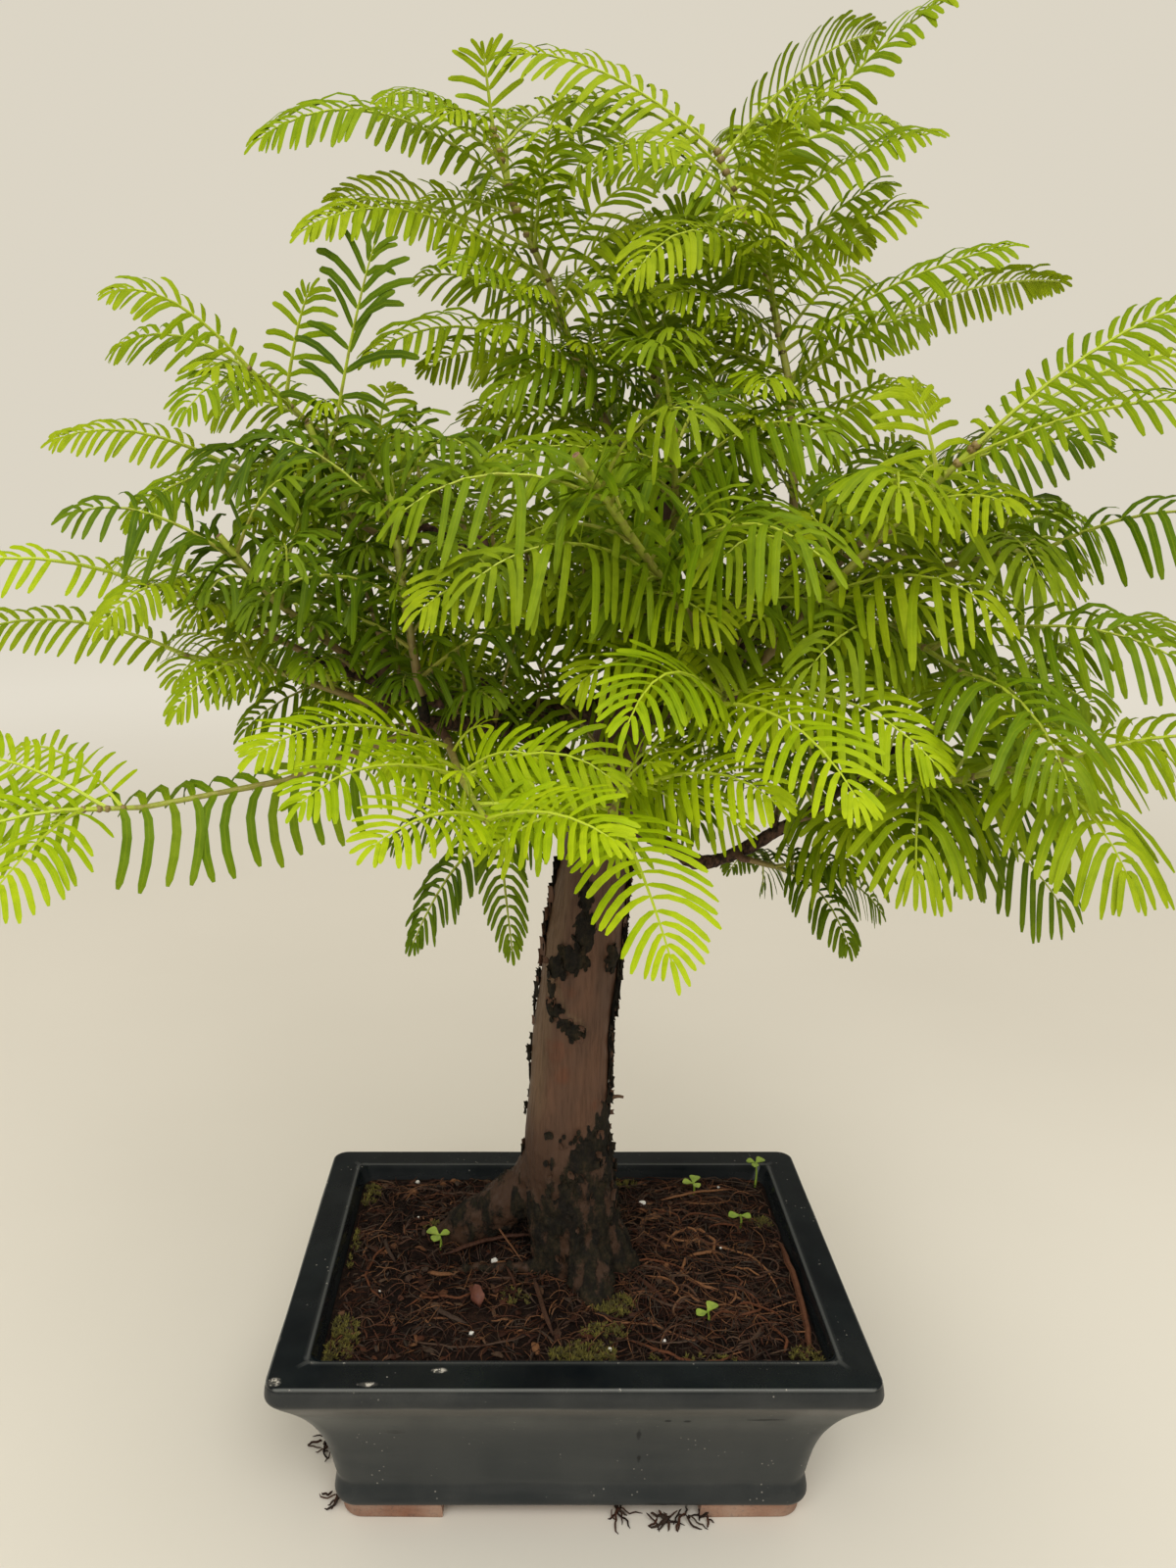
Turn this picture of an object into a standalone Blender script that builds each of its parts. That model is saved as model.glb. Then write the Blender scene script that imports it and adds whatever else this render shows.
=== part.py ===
# Dawn redwood bonsai in its glazed pot, in metres, with the origin on the table under the pot's centre.
# The viewer stands on the -Y side. Layout lists are in millimetres.
import math

import bmesh
import bpy
from mathutils import Vector, noise
from mathutils.bvhtree import BVHTree

MM = 0.001
GAP = 0.3

# Pot sections from the inner floor, over the rim and down to the underside:
# height, half width, half depth, corner radius.
POT_SECTIONS = [
    (12.0, 75.0, 47.5, 8.0),
    (13.6, 76.2, 48.7, 9.0),
    (45.0, 81.5, 54.0, 8.0),
    (68.2, 87.9, 60.9, 5.2),
    (69.6, 89.4, 62.4, 5.0),
    (68.9, 100.9, 73.9, 5.5),
    (67.8, 101.9, 74.9, 6.0),
    (64.0, 102.0, 75.0, 6.0),
    (62.2, 101.6, 74.6, 6.0),
    (60.2, 100.4, 73.4, 6.2),
    (56.6, 97.8, 70.8, 6.8),
    (51.5, 94.4, 67.4, 7.3),
    (45.5, 91.2, 64.2, 7.8),
    (39.0, 88.4, 61.4, 8.0),
    (32.0, 86.2, 59.2, 8.0),
    (24.0, 84.5, 57.5, 8.0),
    (16.0, 83.3, 56.3, 8.0),
    (13.0, 83.5, 56.5, 8.0),
    (9.5, 83.9, 56.9, 8.0),
    (6.8, 82.9, 55.9, 7.5),
    (6.0, 81.4, 54.4, 7.0),
]
CORNER_STEPS = 3
FOOT_OUTER_X = 82.0
FOOT_OUTER_Y = 55.0
FOOT_LONG = 36.0
FOOT_DEEP = 28.0
FOOT_WIDE = 11.0
FOOT_TOP = 7.5
FOOT_CORNER = 7.5
FOOT_TAPER = 0.8
DRAIN_X = 45.0
DRAIN_RADIUS = 7.0

# Soil skirt: height, half width, half depth, corner radius.
SOIL_SECTIONS = [
    (12.3, 74.5, 47.0, 7.5),
    (14.0, 75.7, 48.2, 8.6),
    (45.0, 81.0, 53.5, 7.8),
    (64.0, 86.2, 59.1, 5.6),
]
SOIL_RINGS = [(0.93, 65.2), (0.8, 65.8), (0.64, 66.5), (0.47, 67.3), (0.3, 68.0), (0.14, 68.4)]
SOIL_MOUND_SHIFT = 3.0
MESH_SIDE = 24.0
MESH_THICK = 0.8
MESH_HOLES = 3
MESH_STRAND = 1.6

# The trunk, limbs and roots: points with their radius. The first eight points of the trunk
# carry no limb.
TRUNK_LINE = [
    (5.5, 0, 38, 16.0),
    (5.5, 0, 52, 18.0),
    (5.0, 0, 64, 17.5),
    (3.0, 0, 80, 16.8),
    (1.0, 0, 98, 16.6),
    (-1.0, 0, 121, 15.4),
    (0.0, 0, 142, 14.4),
    (1.0, 0, 163, 13.9),
    (5.0, 0, 198, 13.5),
    (10.0, -1, 235, 11.6),
    (16.0, -1, 268, 9.4),
    (22.0, -1, 295, 7.4),
    (28.0, 0, 330, 4.8),
    (32.0, 0, 356, 3.4),
]
TRUNK_CLEAR_TO = 8
TRUNK_SIDES_LEVEL = 4
FLUTES_TO = 270.0
FLUTE_CENTRE_X = 3.0
ROOT_SWELL_TO = 130.0
ROOT_SWELL_FADE = 60.0
BED_ROOM = 0.2
TWIG_STRAIGHT = 3.0
TWIG_NEAR = 1.2
LIMBS = {
    "right": [
        (20, 0, 283, 6.0), (46, -8, 291, 4.8), (58, -12, 305, 4.0),
        (71, -15, 319, 3.3), (98, -21, 325, 2.0),
    ],
    "front_right": [(17, -3, 276, 4.6), (34, -24, 283, 3.4), (47, -40, 289, 2.6)],
    "low_right": [
        (11, -1, 245, 4.6), (32, -6, 234, 3.2), (47, -10, 228, 2.7),
        (70, -16, 241, 2.3), (104, -22, 267, 1.5),
    ],
    "left": [(17, -1, 279, 5.6), (-12, -12, 282, 4.2), (-40, -24, 286, 3.2), (-78, -41, 301, 1.9)],
    "low_left": [
        (10, -2, 252, 5.0), (-10, -20, 272, 3.6),
        (-30, -38, 281, 2.9), (-46, -55, 285, 2.2),
    ],
    "front": [(9, -4, 248, 4.0), (15, -26, 262, 2.3)],
    "upper_left": [
        (25, 0, 308, 4.2), (0, -12, 322, 3.1),
        (-30, -20, 333, 2.4), (-55, -25, 346, 1.7),
    ],
    "back": [(19, 3, 288, 4.6), (24, 24, 300, 3.2), (20, 50, 312, 2.4), (14, 66, 322, 1.8)],
    "back_left": [(11, 3, 246, 4.6), (2, 26, 256, 3.1), (-14, 44, 262, 2.4), (-30, 60, 268, 1.8)],
    "back_right": [(22, 2, 298, 4.2), (44, 18, 306, 3.0), (62, 36, 316, 2.3), (74, 48, 326, 1.7)],
}
ROOTS = [
    [(-3, 2, 114, 9.0), (-14, 6, 96, 9.0), (-28, 10, 81, 8.4), (-41, 14, 70, 7.2), (-51, 17, 59, 5.4)],
    [(8, -2, 88, 9.0), (16, -5, 72, 8.4), (24, -8, 58, 6.2), (32, -10, 47, 4.2)],
    [(4, -6, 84, 9.4), (8, -17, 70, 8.4), (11, -28, 58, 6.0), (14, -38, 48, 4.0)],
    [(2, 6, 90, 9.0), (-5, 22, 70, 7.0), (-12, 38, 54, 4.5)],
    [(-8, -9, 69, 2.2), (-24, -9, 68, 1.8), (-38, -8, 67, 1.5), (-50, -9, 62, 1.2)],
]

# Leafy stems. Each has a tone, the points of its stem, its radius at the base, and its fronds.
# A frond leaves the stem at a share of its length, and has a tip, the rise of its bow, the length
# of its leaflets and how far they hang. The stems named in CUT_ENDS were pruned and end in a cut.
SPRAYS = {
    "leader_left": {
        "tone": "bright",
        "stem": [(24, -3, 350), (2, -6, 390), (-9, -9, 418), (-20, -14, 440), (-26, -20, 459)],
        "radius": 1.6,
        "fronds": [
            (1.00, (-28, -32, 482), 1, 12, 0.1),
            (0.86, (-88, -55, 445), 10, 15, 0.3),
            (0.97, (-54, -55, 455), 4, 11, 0.3),
            (0.94, (6, 14, 475), 4, 11, 0.2),
            (0.62, (-76, -60, 421), 9, 15, 0.3),
            (0.70, (-80, 20, 447), 4, 14, 0.2),
            (0.74, (26, -58, 441), 8, 16, 0.3),
            (0.38, (-60, -50, 390), 8, 15, 0.3),
            (0.52, (34, -38, 420), 7, 15, 0.3),
            (0.82, (-32, 48, 454), 5, 14, 0.3),
            (0.55, (-4, 58, 424), 6, 15, 0.3),
            (0.30, (-50, 26, 396), 7, 15, 0.3),
        ],
    },
    "leader_right": {
        "tone": "bright",
        "stem": [(71, -15, 328), (70, -16, 352), (67, -17, 385), (58, -19, 418), (41, -20, 453)],
        "radius": 1.6,
        "fronds": [
            (1.00, (-22, -22, 477), 6, 15, 0.3),
            (0.97, (97, 20, 498), 4, 15, 0.2),
            (0.85, (97, -60, 478), 6, 16, 0.2),
            (0.80, (93, -56, 446), 4, 16, 0.3),
            (0.52, (118, -55, 418), 2, 14, 0.3),
            (0.46, (162, 15, 422), 5, 14, 0.3),
            (0.66, (14, -58, 410), 11, 16, 0.3),
            (0.90, (58, 38, 474), 5, 15, 0.3),
            (0.68, (106, 50, 440), 6, 15, 0.3),
            (0.56, (38, 48, 414), 6, 16, 0.3),
            (0.32, (114, -6, 384), 6, 16, 0.3),
            (0.26, (50, -66, 380), 8, 16, 0.3),
        ],
    },
    "leader_centre": {
        "tone": "mid",
        "stem": [(32.5, 0, 362), (29, -6, 377), (24, -13, 392)],
        "radius": 1.5,
        "fronds": [
            (1.00, (8, -54, 408), 4, 18, 0.3),
            (0.55, (-24, -44, 380), 8, 18, 0.3),
            (0.50, (62, 34, 392), 5, 18, 0.3),
            (0.80, (4, 34, 402), 5, 16, 0.3),
        ],
    },
    "left_high": {
        "tone": "bright",
        "stem": [(-58, -26, 350), (-78, -35, 370), (-97, -46, 388)],
        "radius": 1.2,
        "fronds": [
            (1.00, (-128, -62, 405), 5, 13, 0.3),
            (0.85, (-137, -36, 394), 6, 13, 0.3),
            (0.60, (-112, -2, 384), 6, 13, 0.3),
            (0.70, (-104, -84, 372), 6, 14, 0.3),
        ],
    },
    "left_stub_high": {
        "tone": "dark",
        "stem": [(-60, -36, 304), (-68, -46, 344), (-78, -54, 371)],
        "radius": 1.3,
        "fronds": [
            (0.80, (-57, -58, 418), 2, 22, 0.2),
            (0.55, (-104, -72, 356), 9, 20, 0.4),
            (0.60, (-44, -74, 366), 7, 20, 0.4),
        ],
    },
    "left_mid": {
        "tone": "bright",
        "stem": [(-57, -20, 336), (-82, -32, 352), (-106, -44, 361)],
        "radius": 1.2,
        "fronds": [
            (1.00, (-148, -62, 366), 4, 12, 0.3),
            (0.80, (-122, -78, 344), 4, 14, 0.4),
            (0.55, (-112, 4, 356), 6, 14, 0.3),
        ],
    },
    "left_long": {
        "tone": "bright",
        "stem": [(-81, -42.5, 303), (-102, -55, 317), (-124, -68, 327)],
        "radius": 1.2,
        "fronds": [
            (1.00, (-176, -96, 328), 5, 14, 0.3),
            (0.40, (-152, -14, 330), 6, 14, 0.3),
            (0.70, (-122, -108, 318), 6, 15, 0.4),
        ],
    },
    "left_lower": {
        "tone": "bright",
        "stem": [(-62, -42, 288), (-90, -53, 300), (-116, -62, 306)],
        "radius": 1.2,
        "fronds": [
            (1.00, (-178, -84, 309), 7, 14, 0.3),
            (0.55, (-106, -104, 296), 6, 15, 0.4),
            (0.60, (-134, -22, 303), 6, 14, 0.3),
        ],
    },
    "left_stub_mid": {
        "tone": "dark",
        "stem": [(-72, -46, 305), (-88, -64, 322), (-100, -74, 340)],
        "radius": 1.2,
        "fronds": [
            (0.75, (-134, -88, 346), 5, 20, 0.4),
            (0.60, (-74, -112, 334), 6, 20, 0.4),
        ],
    },
    "left_stub_low": {
        "tone": "dark",
        "stem": [(-47, -57, 293), (-51, -62, 324), (-54, -64, 356)],
        "radius": 1.4,
        "fronds": [
            (0.45, (-86, -98, 322), 6, 22, 0.5),
            (0.55, (-22, -110, 330), 7, 22, 0.5),
            (0.80, (-92, -66, 366), 5, 20, 0.4),
            (0.85, (-30, -98, 362), 6, 20, 0.4),
        ],
    },
    "left_low_branch": {
        "tone": "mid",
        "stem": [(-52, -60, 282), (-84, -78, 272), (-118, -98, 269), (-138, -110, 271)],
        "radius": 1.2,
        "fronds": [
            (1.00, (-180, -116, 268), 3, 16, 0.3),
            (0.92, (-136, -156, 260), 3, 18, 0.4),
            (0.82, (-162, -72, 280), 4, 16, 0.3),
        ],
    },
    "front_left": {
        "tone": "lime",
        "stem": [(-39, -60, 280), (-33, -95, 276), (-25, -122, 271)],
        "radius": 1.3,
        "fronds": [
            (0.10, (-84, -112, 286), 5, 16, 0.2),
            (0.52, (-66, -148, 282), 4, 16, 0.2),
            (0.97, (-48, -162, 276), 3, 15, 0.1),
            (1.00, (4, -158, 276), 3, 15, 0.1),
            (0.55, (6, -112, 280), 5, 16, 0.2),
        ],
    },
    "front_centre": {
        "tone": "lime",
        "stem": [(16, -30, 263.5), (12, -68, 268), (7, -103, 269)],
        "radius": 1.3,
        "fronds": [
            (1.00, (17, -158, 248), 3, 18, 0.1),
            (0.95, (-24, -128, 266), 3, 15, 0.2),
            (0.70, (46, -122, 276), 5, 16, 0.3),
            (0.35, (-22, -76, 264), 4, 16, 0.4),
            (0.40, (46, -78, 258), 4, 16, 0.4),
        ],
    },
    "front_right": {
        "tone": "lime",
        "stem": [(45, -44, 291.5), (42, -66, 295), (38, -86, 295)],
        "radius": 1.3,
        "fronds": [
            (1.00, (8, -136, 298), 8, 18, 0.2),
            (0.97, (62, -138, 280), 5, 18, 0.2),
            (0.55, (88, -112, 284), 6, 18, 0.3),
            (0.45, (-2, -86, 300), 7, 16, 0.3),
        ],
    },
    "shoot_right": {
        "tone": "bright",
        "stem": [(52, -42, 296), (68, -58, 320), (84, -72, 341), (102, -88, 364)],
        "radius": 1.6,
        "fronds": [
            (1.00, (150, -106, 396), 4, 12, 0.3),
            (0.97, (174, -62, 388), 5, 13, 0.3),
            (0.92, (142, -130, 370), 3, 13, 0.3),
            (0.66, (72, -120, 350), 7, 24, 0.5),
            (0.62, (128, -34, 356), 6, 22, 0.4),
            (0.36, (104, -98, 322), 6, 24, 0.5),
            (0.40, (34, -98, 334), 8, 24, 0.5),
        ],
    },
    "right_upper": {
        "tone": "mid",
        "stem": [(84, -17, 329), (96, -20, 342), (106, -24, 354)],
        "radius": 1.2,
        "fronds": [
            (1.00, (146, -56, 366), 4, 19, 0.3),
            (0.80, (142, 18, 366), 5, 19, 0.3),
            (0.50, (74, -58, 348), 7, 19, 0.4),
        ],
    },
    "right_mid": {
        "tone": "mid",
        "stem": [(101, -21.6, 326), (120, -36, 332), (138, -52, 336)],
        "radius": 1.2,
        "fronds": [
            (1.00, (174, -88, 344), 4, 20, 0.4),
            (0.60, (168, -12, 342), 6, 20, 0.4),
            (0.65, (116, -98, 330), 6, 22, 0.5),
        ],
    },
    "right_back": {
        "tone": "dark",
        "stem": [(96, -14, 328), (116, 2, 334), (134, 18, 338)],
        "radius": 1.2,
        "fronds": [
            (1.00, (174, 34, 344), 4, 18, 0.3),
            (0.60, (122, 66, 340), 5, 18, 0.4),
        ],
    },
    "right_low_front": {
        "tone": "mid",
        "stem": [(83, -24, 317), (95, -54, 312), (104, -84, 303)],
        "radius": 1.3,
        "fronds": [
            (1.00, (112, -134, 284), 4, 22, 0.4),
            (0.55, (58, -98, 306), 6, 20, 0.4),
            (0.70, (152, -108, 308), 6, 20, 0.4),
        ],
    },
    "right_low_long": {
        "tone": "bright",
        "stem": [(72, -22, 244), (86, -54, 260), (110, -82, 274), (128, -98, 282)],
        "radius": 1.3,
        "fronds": [
            (1.00, (172, -128, 290), 4, 14, 0.3),
            (0.60, (84, -116, 256), 6, 23, 0.5),
            (0.75, (170, -66, 278), 6, 23, 0.4),
            (0.85, (120, -150, 266), 4, 23, 0.5),
        ],
    },
    "right_low": {
        "tone": "dark",
        "stem": [(106, -24, 264), (118, -34, 258), (128, -44, 250)],
        "radius": 1.1,
        "fronds": [
            (1.00, (146, -66, 230), 3, 18, 0.5),
            (0.50, (110, -82, 246), 5, 20, 0.5),
            (0.60, (164, -20, 244), 5, 20, 0.5),
        ],
    },
    "right_wide": {
        "tone": "mid",
        "stem": [(107, -20, 270), (130, -18, 284), (150, -18, 294)],
        "radius": 1.2,
        "fronds": [
            (1.00, (177, -46, 312), 5, 16, 0.3),
            (0.85, (176, 6, 300), 5, 16, 0.3),
            (0.50, (146, -72, 292), 6, 19, 0.4),
            (0.45, (138, 34, 284), 5, 17, 0.4),
        ],
    },
    "right_under": {
        "tone": "dark",
        "stem": [(60, -17, 231), (72, -14, 227), (82, -9, 221)],
        "radius": 1.1,
        "fronds": [
            (1.00, (116, 12, 202), 5, 14, 0.4),
            (0.55, (88, -46, 210), 4, 14, 0.4),
            (0.40, (62, 28, 214), 5, 14, 0.4),
        ],
    },
    "left_under": {
        "tone": "dark",
        "stem": [(-13, -29, 268), (-20, -35, 256), (-28, -38, 245)],
        "radius": 1.1,
        "fronds": [
            (1.00, (-52, -48, 212), 4, 14, 0.4),
            (0.60, (-62, -16, 236), 4, 16, 0.4),
            (0.80, (-20, -56, 212), 3, 13, 0.4),
        ],
    },
    "centre_stub": {
        "tone": "mid",
        "stem": [(35, -29, 290), (34, -58, 314), (14, -80, 338), (-3, -98, 360)],
        "radius": 1.4,
        "fronds": [
            (0.50, (-28, -116, 330), 8, 26, 0.5),
            (0.55, (52, -130, 336), 8, 26, 0.5),
            (0.85, (-46, -108, 346), 6, 23, 0.5),
            (0.88, (22, -138, 366), 6, 23, 0.5),
        ],
    },
    "centre_upright": {
        "tone": "mid",
        "stem": [(29, -8, 330), (30, -36, 348), (26, -58, 370)],
        "radius": 1.4,
        "fronds": [
            (1.00, (18, -96, 386), 5, 21, 0.4),
            (0.65, (66, -76, 366), 7, 21, 0.4),
            (0.60, (-24, -72, 358), 7, 21, 0.4),
        ],
    },
    "centre_bright": {
        "tone": "bright",
        "stem": [(16, -14, 296), (10, -36, 312), (2, -60, 320)],
        "radius": 1.3,
        "fronds": [
            (1.00, (-42, -112, 322), 7, 17, 0.3),
            (0.60, (-48, -52, 310), 7, 19, 0.4),
            (0.70, (34, -98, 318), 6, 19, 0.4),
        ],
    },
    "back_top": {
        "tone": "mid",
        "stem": [(30, 6, 344), (28, 30, 364), (22, 52, 380)],
        "radius": 1.4,
        "fronds": [
            (1.00, (10, 98, 386), 6, 17, 0.3),
            (0.60, (70, 68, 374), 6, 17, 0.3),
            (0.65, (-32, 72, 376), 6, 17, 0.3),
        ],
    },
    "back_left_high": {
        "tone": "bright",
        "stem": [(-31, -14, 338), (-50, 14, 348), (-66, 38, 354)],
        "radius": 1.3,
        "fronds": [
            (1.00, (-104, 74, 360), 6, 16, 0.3),
            (0.60, (-104, 20, 340), 6, 16, 0.3),
            (0.70, (-32, 74, 346), 6, 17, 0.3),
        ],
    },
    "back_left_mid": {
        "tone": "mid",
        "stem": [(-41, -17, 289), (-60, 12, 298), (-80, 38, 304)],
        "radius": 1.3,
        "fronds": [
            (1.00, (-132, 78, 306), 6, 17, 0.3),
            (0.65, (-128, 14, 286), 6, 17, 0.3),
            (0.60, (-48, 76, 304), 6, 17, 0.3),
        ],
    },
    "back_mid": {
        "tone": "bright",
        "stem": [(13, 70, 324), (6, 92, 332), (-2, 110, 336)],
        "radius": 1.3,
        "fronds": [
            (1.00, (-14, 164, 334), 5, 17, 0.3),
            (0.50, (-50, 104, 332), 6, 17, 0.3),
            (0.55, (54, 122, 336), 6, 17, 0.3),
        ],
    },
    "back_low_left": {
        "tone": "bright",
        "stem": [(-33, 63, 269), (-52, 82, 271), (-70, 98, 271)],
        "radius": 1.3,
        "fronds": [
            (1.00, (-106, 136, 262), 5, 17, 0.3),
            (0.55, (-108, 64, 268), 6, 17, 0.4),
            (0.65, (-46, 142, 264), 6, 17, 0.4),
        ],
    },
    "back_low": {
        "tone": "dark",
        "stem": [(-6, 46, 264), (2, 74, 266), (8, 100, 265)],
        "radius": 1.3,
        "fronds": [
            (1.00, (12, 158, 252), 5, 17, 0.3),
            (0.50, (56, 92, 262), 6, 17, 0.4),
        ],
    },
    "back_right": {
        "tone": "mid",
        "stem": [(77, 51, 329), (92, 70, 338), (106, 86, 343)],
        "radius": 1.3,
        "fronds": [
            (1.00, (138, 126, 344), 5, 17, 0.3),
            (0.55, (150, 60, 344), 6, 17, 0.3),
            (0.60, (72, 130, 342), 6, 17, 0.3),
        ],
    },
    "back_right_low": {
        "tone": "dark",
        "stem": [(62, 40, 312), (82, 58, 304), (102, 74, 298)],
        "radius": 1.3,
        "fronds": [
            (1.00, (152, 108, 290), 5, 19, 0.4),
            (0.60, (152, 36, 298), 6, 19, 0.4),
            (0.60, (78, 122, 294), 6, 19, 0.4),
        ],
    },
    "back_low_right": {
        "tone": "mid",
        "stem": [(70, -11, 244), (82, 22, 252), (92, 52, 256)],
        "radius": 1.3,
        "fronds": [
            (1.00, (118, 104, 248), 5, 19, 0.4),
            (0.60, (148, 48, 252), 6, 19, 0.4),
            (0.65, (44, 78, 250), 6, 19, 0.4),
        ],
    },
}
CUT_ENDS = ["left_stub_high", "left_stub_mid", "left_stub_low", "centre_stub"]
HANGING = {"left_low_branch": (0.16, 0.84, 5, 24)}

# Fronds: the spacing of the leaflet pairs, the bare foot of a rib, the width of a leaflet where
# it leaves the rib and of a blunt one at its tip, and the rib's width and depth. A rib that is
# hidden in a stem is thinner than the stem.
PAIR_PITCH = 15.0
BARE_FOOT = 7.0
LEAFLET_BASE = 3.2
BLUNT_TIP = 1.8
BLUNT_DEPTH = 0.65
RIB_WIDTH = 1.5
RIB_DEPTH = 1.0
HIDDEN_RIB = 0.5
BLADE_THICK = 0.7
LEAFLET_CLEAR = 1.1
RIB_CLEAR = 0.75

# Two-leaved seedlings in the soil: where each stands and how it is turned.
SEEDLINGS = [(-50, 6, 20), (54, 43, 75), (70, 21, 150), (48, -39, 35), (82, 53, 110)]
SEEDLING_TOP = 72.0
SEED_HOLE_FLOOR = 60.0
SEED_HOLE_RADIUS = 1.1
SEED_LEAF = [(0.0, 0.6), (3.4, 1.7), (5.6, 0.0), (3.4, -1.7), (0.0, -0.6)]

TONES = {
    "lime": (0.42, 0.62, 0.03),
    "bright": (0.26, 0.47, 0.03),
    "mid": (0.13, 0.31, 0.025),
    "dark": (0.06, 0.19, 0.03),
}


def clear_scene():
    for item in list(bpy.data.objects):
        bpy.data.objects.remove(item, do_unlink=True)
    for group in list(bpy.data.collections):
        bpy.data.collections.remove(group)


def make_collection(name):
    group = bpy.data.collections.new(name)
    bpy.context.scene.collection.children.link(group)
    return group


def make_material(name, colour, roughness, metallic=0.0, coat=0.0):
    material = bpy.data.materials.new(name)
    material.use_nodes = True
    shader = material.node_tree.nodes["Principled BSDF"]
    shader.inputs["Base Color"].default_value = (*colour, 1.0)
    shader.inputs["Roughness"].default_value = roughness
    shader.inputs["Metallic"].default_value = metallic
    shader.inputs["Coat Weight"].default_value = coat
    return material


def add_mesh(name, mesh, group):
    item = bpy.data.objects.new(name, mesh)
    group.objects.link(item)
    return item


def mesh_from(name, points, faces):
    mesh = bpy.data.meshes.new(name)
    mesh.from_pydata([Vector(p) * MM for p in points], [], faces)
    mesh.update()
    return mesh


def applied(item):
    """The object's evaluated shape kept as its mesh, with its modifiers gone."""
    graph = bpy.context.evaluated_depsgraph_get()
    graph.update()
    mesh = bpy.data.meshes.new_from_object(item.evaluated_get(graph))
    item.modifiers.clear()
    item.data = mesh
    return item


def weld(mesh, within=0.00001):
    work = bmesh.new()
    work.from_mesh(mesh)
    bmesh.ops.remove_doubles(work, verts=work.verts, dist=within)
    bmesh.ops.recalc_face_normals(work, faces=work.faces)
    work.to_mesh(mesh)
    work.free()


def tube(name, line, group, sides_level=0):
    """A round stick through points that carry their radius, closed at both ends."""
    curve = bpy.data.curves.new(name, "CURVE")
    curve.dimensions = "3D"
    curve.bevel_depth = MM
    curve.bevel_resolution = sides_level
    curve.use_fill_caps = True
    spline = curve.splines.new("POLY")
    spline.points.add(len(line) - 1)
    for point, (x, y, z, radius) in zip(spline.points, line):
        point.co = (x * MM, y * MM, z * MM, 1.0)
        point.radius = radius
    item = bpy.data.objects.new(name, curve)
    group.objects.link(item)
    graph = bpy.context.evaluated_depsgraph_get()
    graph.update()
    mesh = bpy.data.meshes.new_from_object(item.evaluated_get(graph))
    bpy.data.objects.remove(item, do_unlink=True)
    weld(mesh)
    return add_mesh(name, mesh, group)


def boolean(item, operation, others, solver="EXACT"):
    """Joins or cuts with every other object at once, from a collection of their own."""
    cutters = make_collection("cutters")
    for other in others:
        for old in list(other.users_collection):
            old.objects.unlink(other)
        cutters.objects.link(other)
    modifier = item.modifiers.new("join", "BOOLEAN")
    modifier.operand_type = "COLLECTION"
    modifier.collection = cutters
    modifier.operation = operation
    modifier.solver = solver
    applied(item)
    for other in others:
        bpy.data.objects.remove(other, do_unlink=True)
    bpy.data.collections.remove(cutters)


def give_material(item, material):
    item.data.materials.clear()
    item.data.materials.append(material)


def keep_largest_body(item):
    """Drops the loose scraps that a cut leaves."""
    work = bmesh.new()
    work.from_mesh(item.data)
    left = set(work.verts)
    bodies = []
    while left:
        stack = [left.pop()]
        body = set(stack)
        while stack:
            vert = stack.pop()
            for edge in vert.link_edges:
                other = edge.other_vert(vert)
                if other not in body:
                    body.add(other)
                    left.discard(other)
                    stack.append(other)
        bodies.append(body)
    bodies.sort(key=len, reverse=True)
    for body in bodies[1:]:
        bmesh.ops.delete(work, geom=list(body), context="VERTS")
    work.to_mesh(item.data)
    work.free()


def rounded_ring(height, half_x, half_y, radius):
    """Points round a rectangle with rounded corners, anticlockwise from above."""
    ring = []
    for corner, (sx, sy) in enumerate([(1, 1), (-1, 1), (-1, -1), (1, -1)]):
        for step in range(CORNER_STEPS + 1):
            angle = math.radians(90 * corner + 90 * step / CORNER_STEPS)
            x = sx * (half_x - radius) + radius * math.cos(angle)
            y = sy * (half_y - radius) + radius * math.sin(angle)
            ring.append((x, y, height))
    return ring


def stacked_rings(rings):
    """A closed solid through rings of the same count, the first and last filled."""
    count = len(rings[0])
    points = [point for ring in rings for point in ring]
    faces = [list(range(count))]
    for level in range(len(rings) - 1):
        for step in range(count):
            a = level * count + step
            b = level * count + (step + 1) % count
            faces.append([a, a + count, b + count, b])
    last = (len(rings) - 1) * count
    faces.append([last + count - 1 - step for step in range(count)])
    return points, faces


def block(name, low, high, group):
    mesh = bpy.data.meshes.new(name)
    work = bmesh.new()
    bmesh.ops.create_cube(work, size=1.0)
    size = [(b - a) * MM for a, b in zip(low, high)]
    centre = [(a + b) / 2 * MM for a, b in zip(low, high)]
    bmesh.ops.scale(work, vec=size, verts=work.verts)
    bmesh.ops.translate(work, vec=centre, verts=work.verts)
    work.to_mesh(mesh)
    work.free()
    return add_mesh(name, mesh, group)


def upright_rod(name, x, y, low, high, radius, group, sides=10):
    mesh = bpy.data.meshes.new(name)
    work = bmesh.new()
    bmesh.ops.create_cone(
        work,
        cap_ends=True,
        segments=sides,
        radius1=radius * MM,
        radius2=radius * MM,
        depth=(high - low) * MM,
    )
    bmesh.ops.translate(work, vec=(x * MM, y * MM, (low + high) / 2 * MM), verts=work.verts)
    work.to_mesh(mesh)
    work.free()
    return add_mesh(name, mesh, group)


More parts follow.
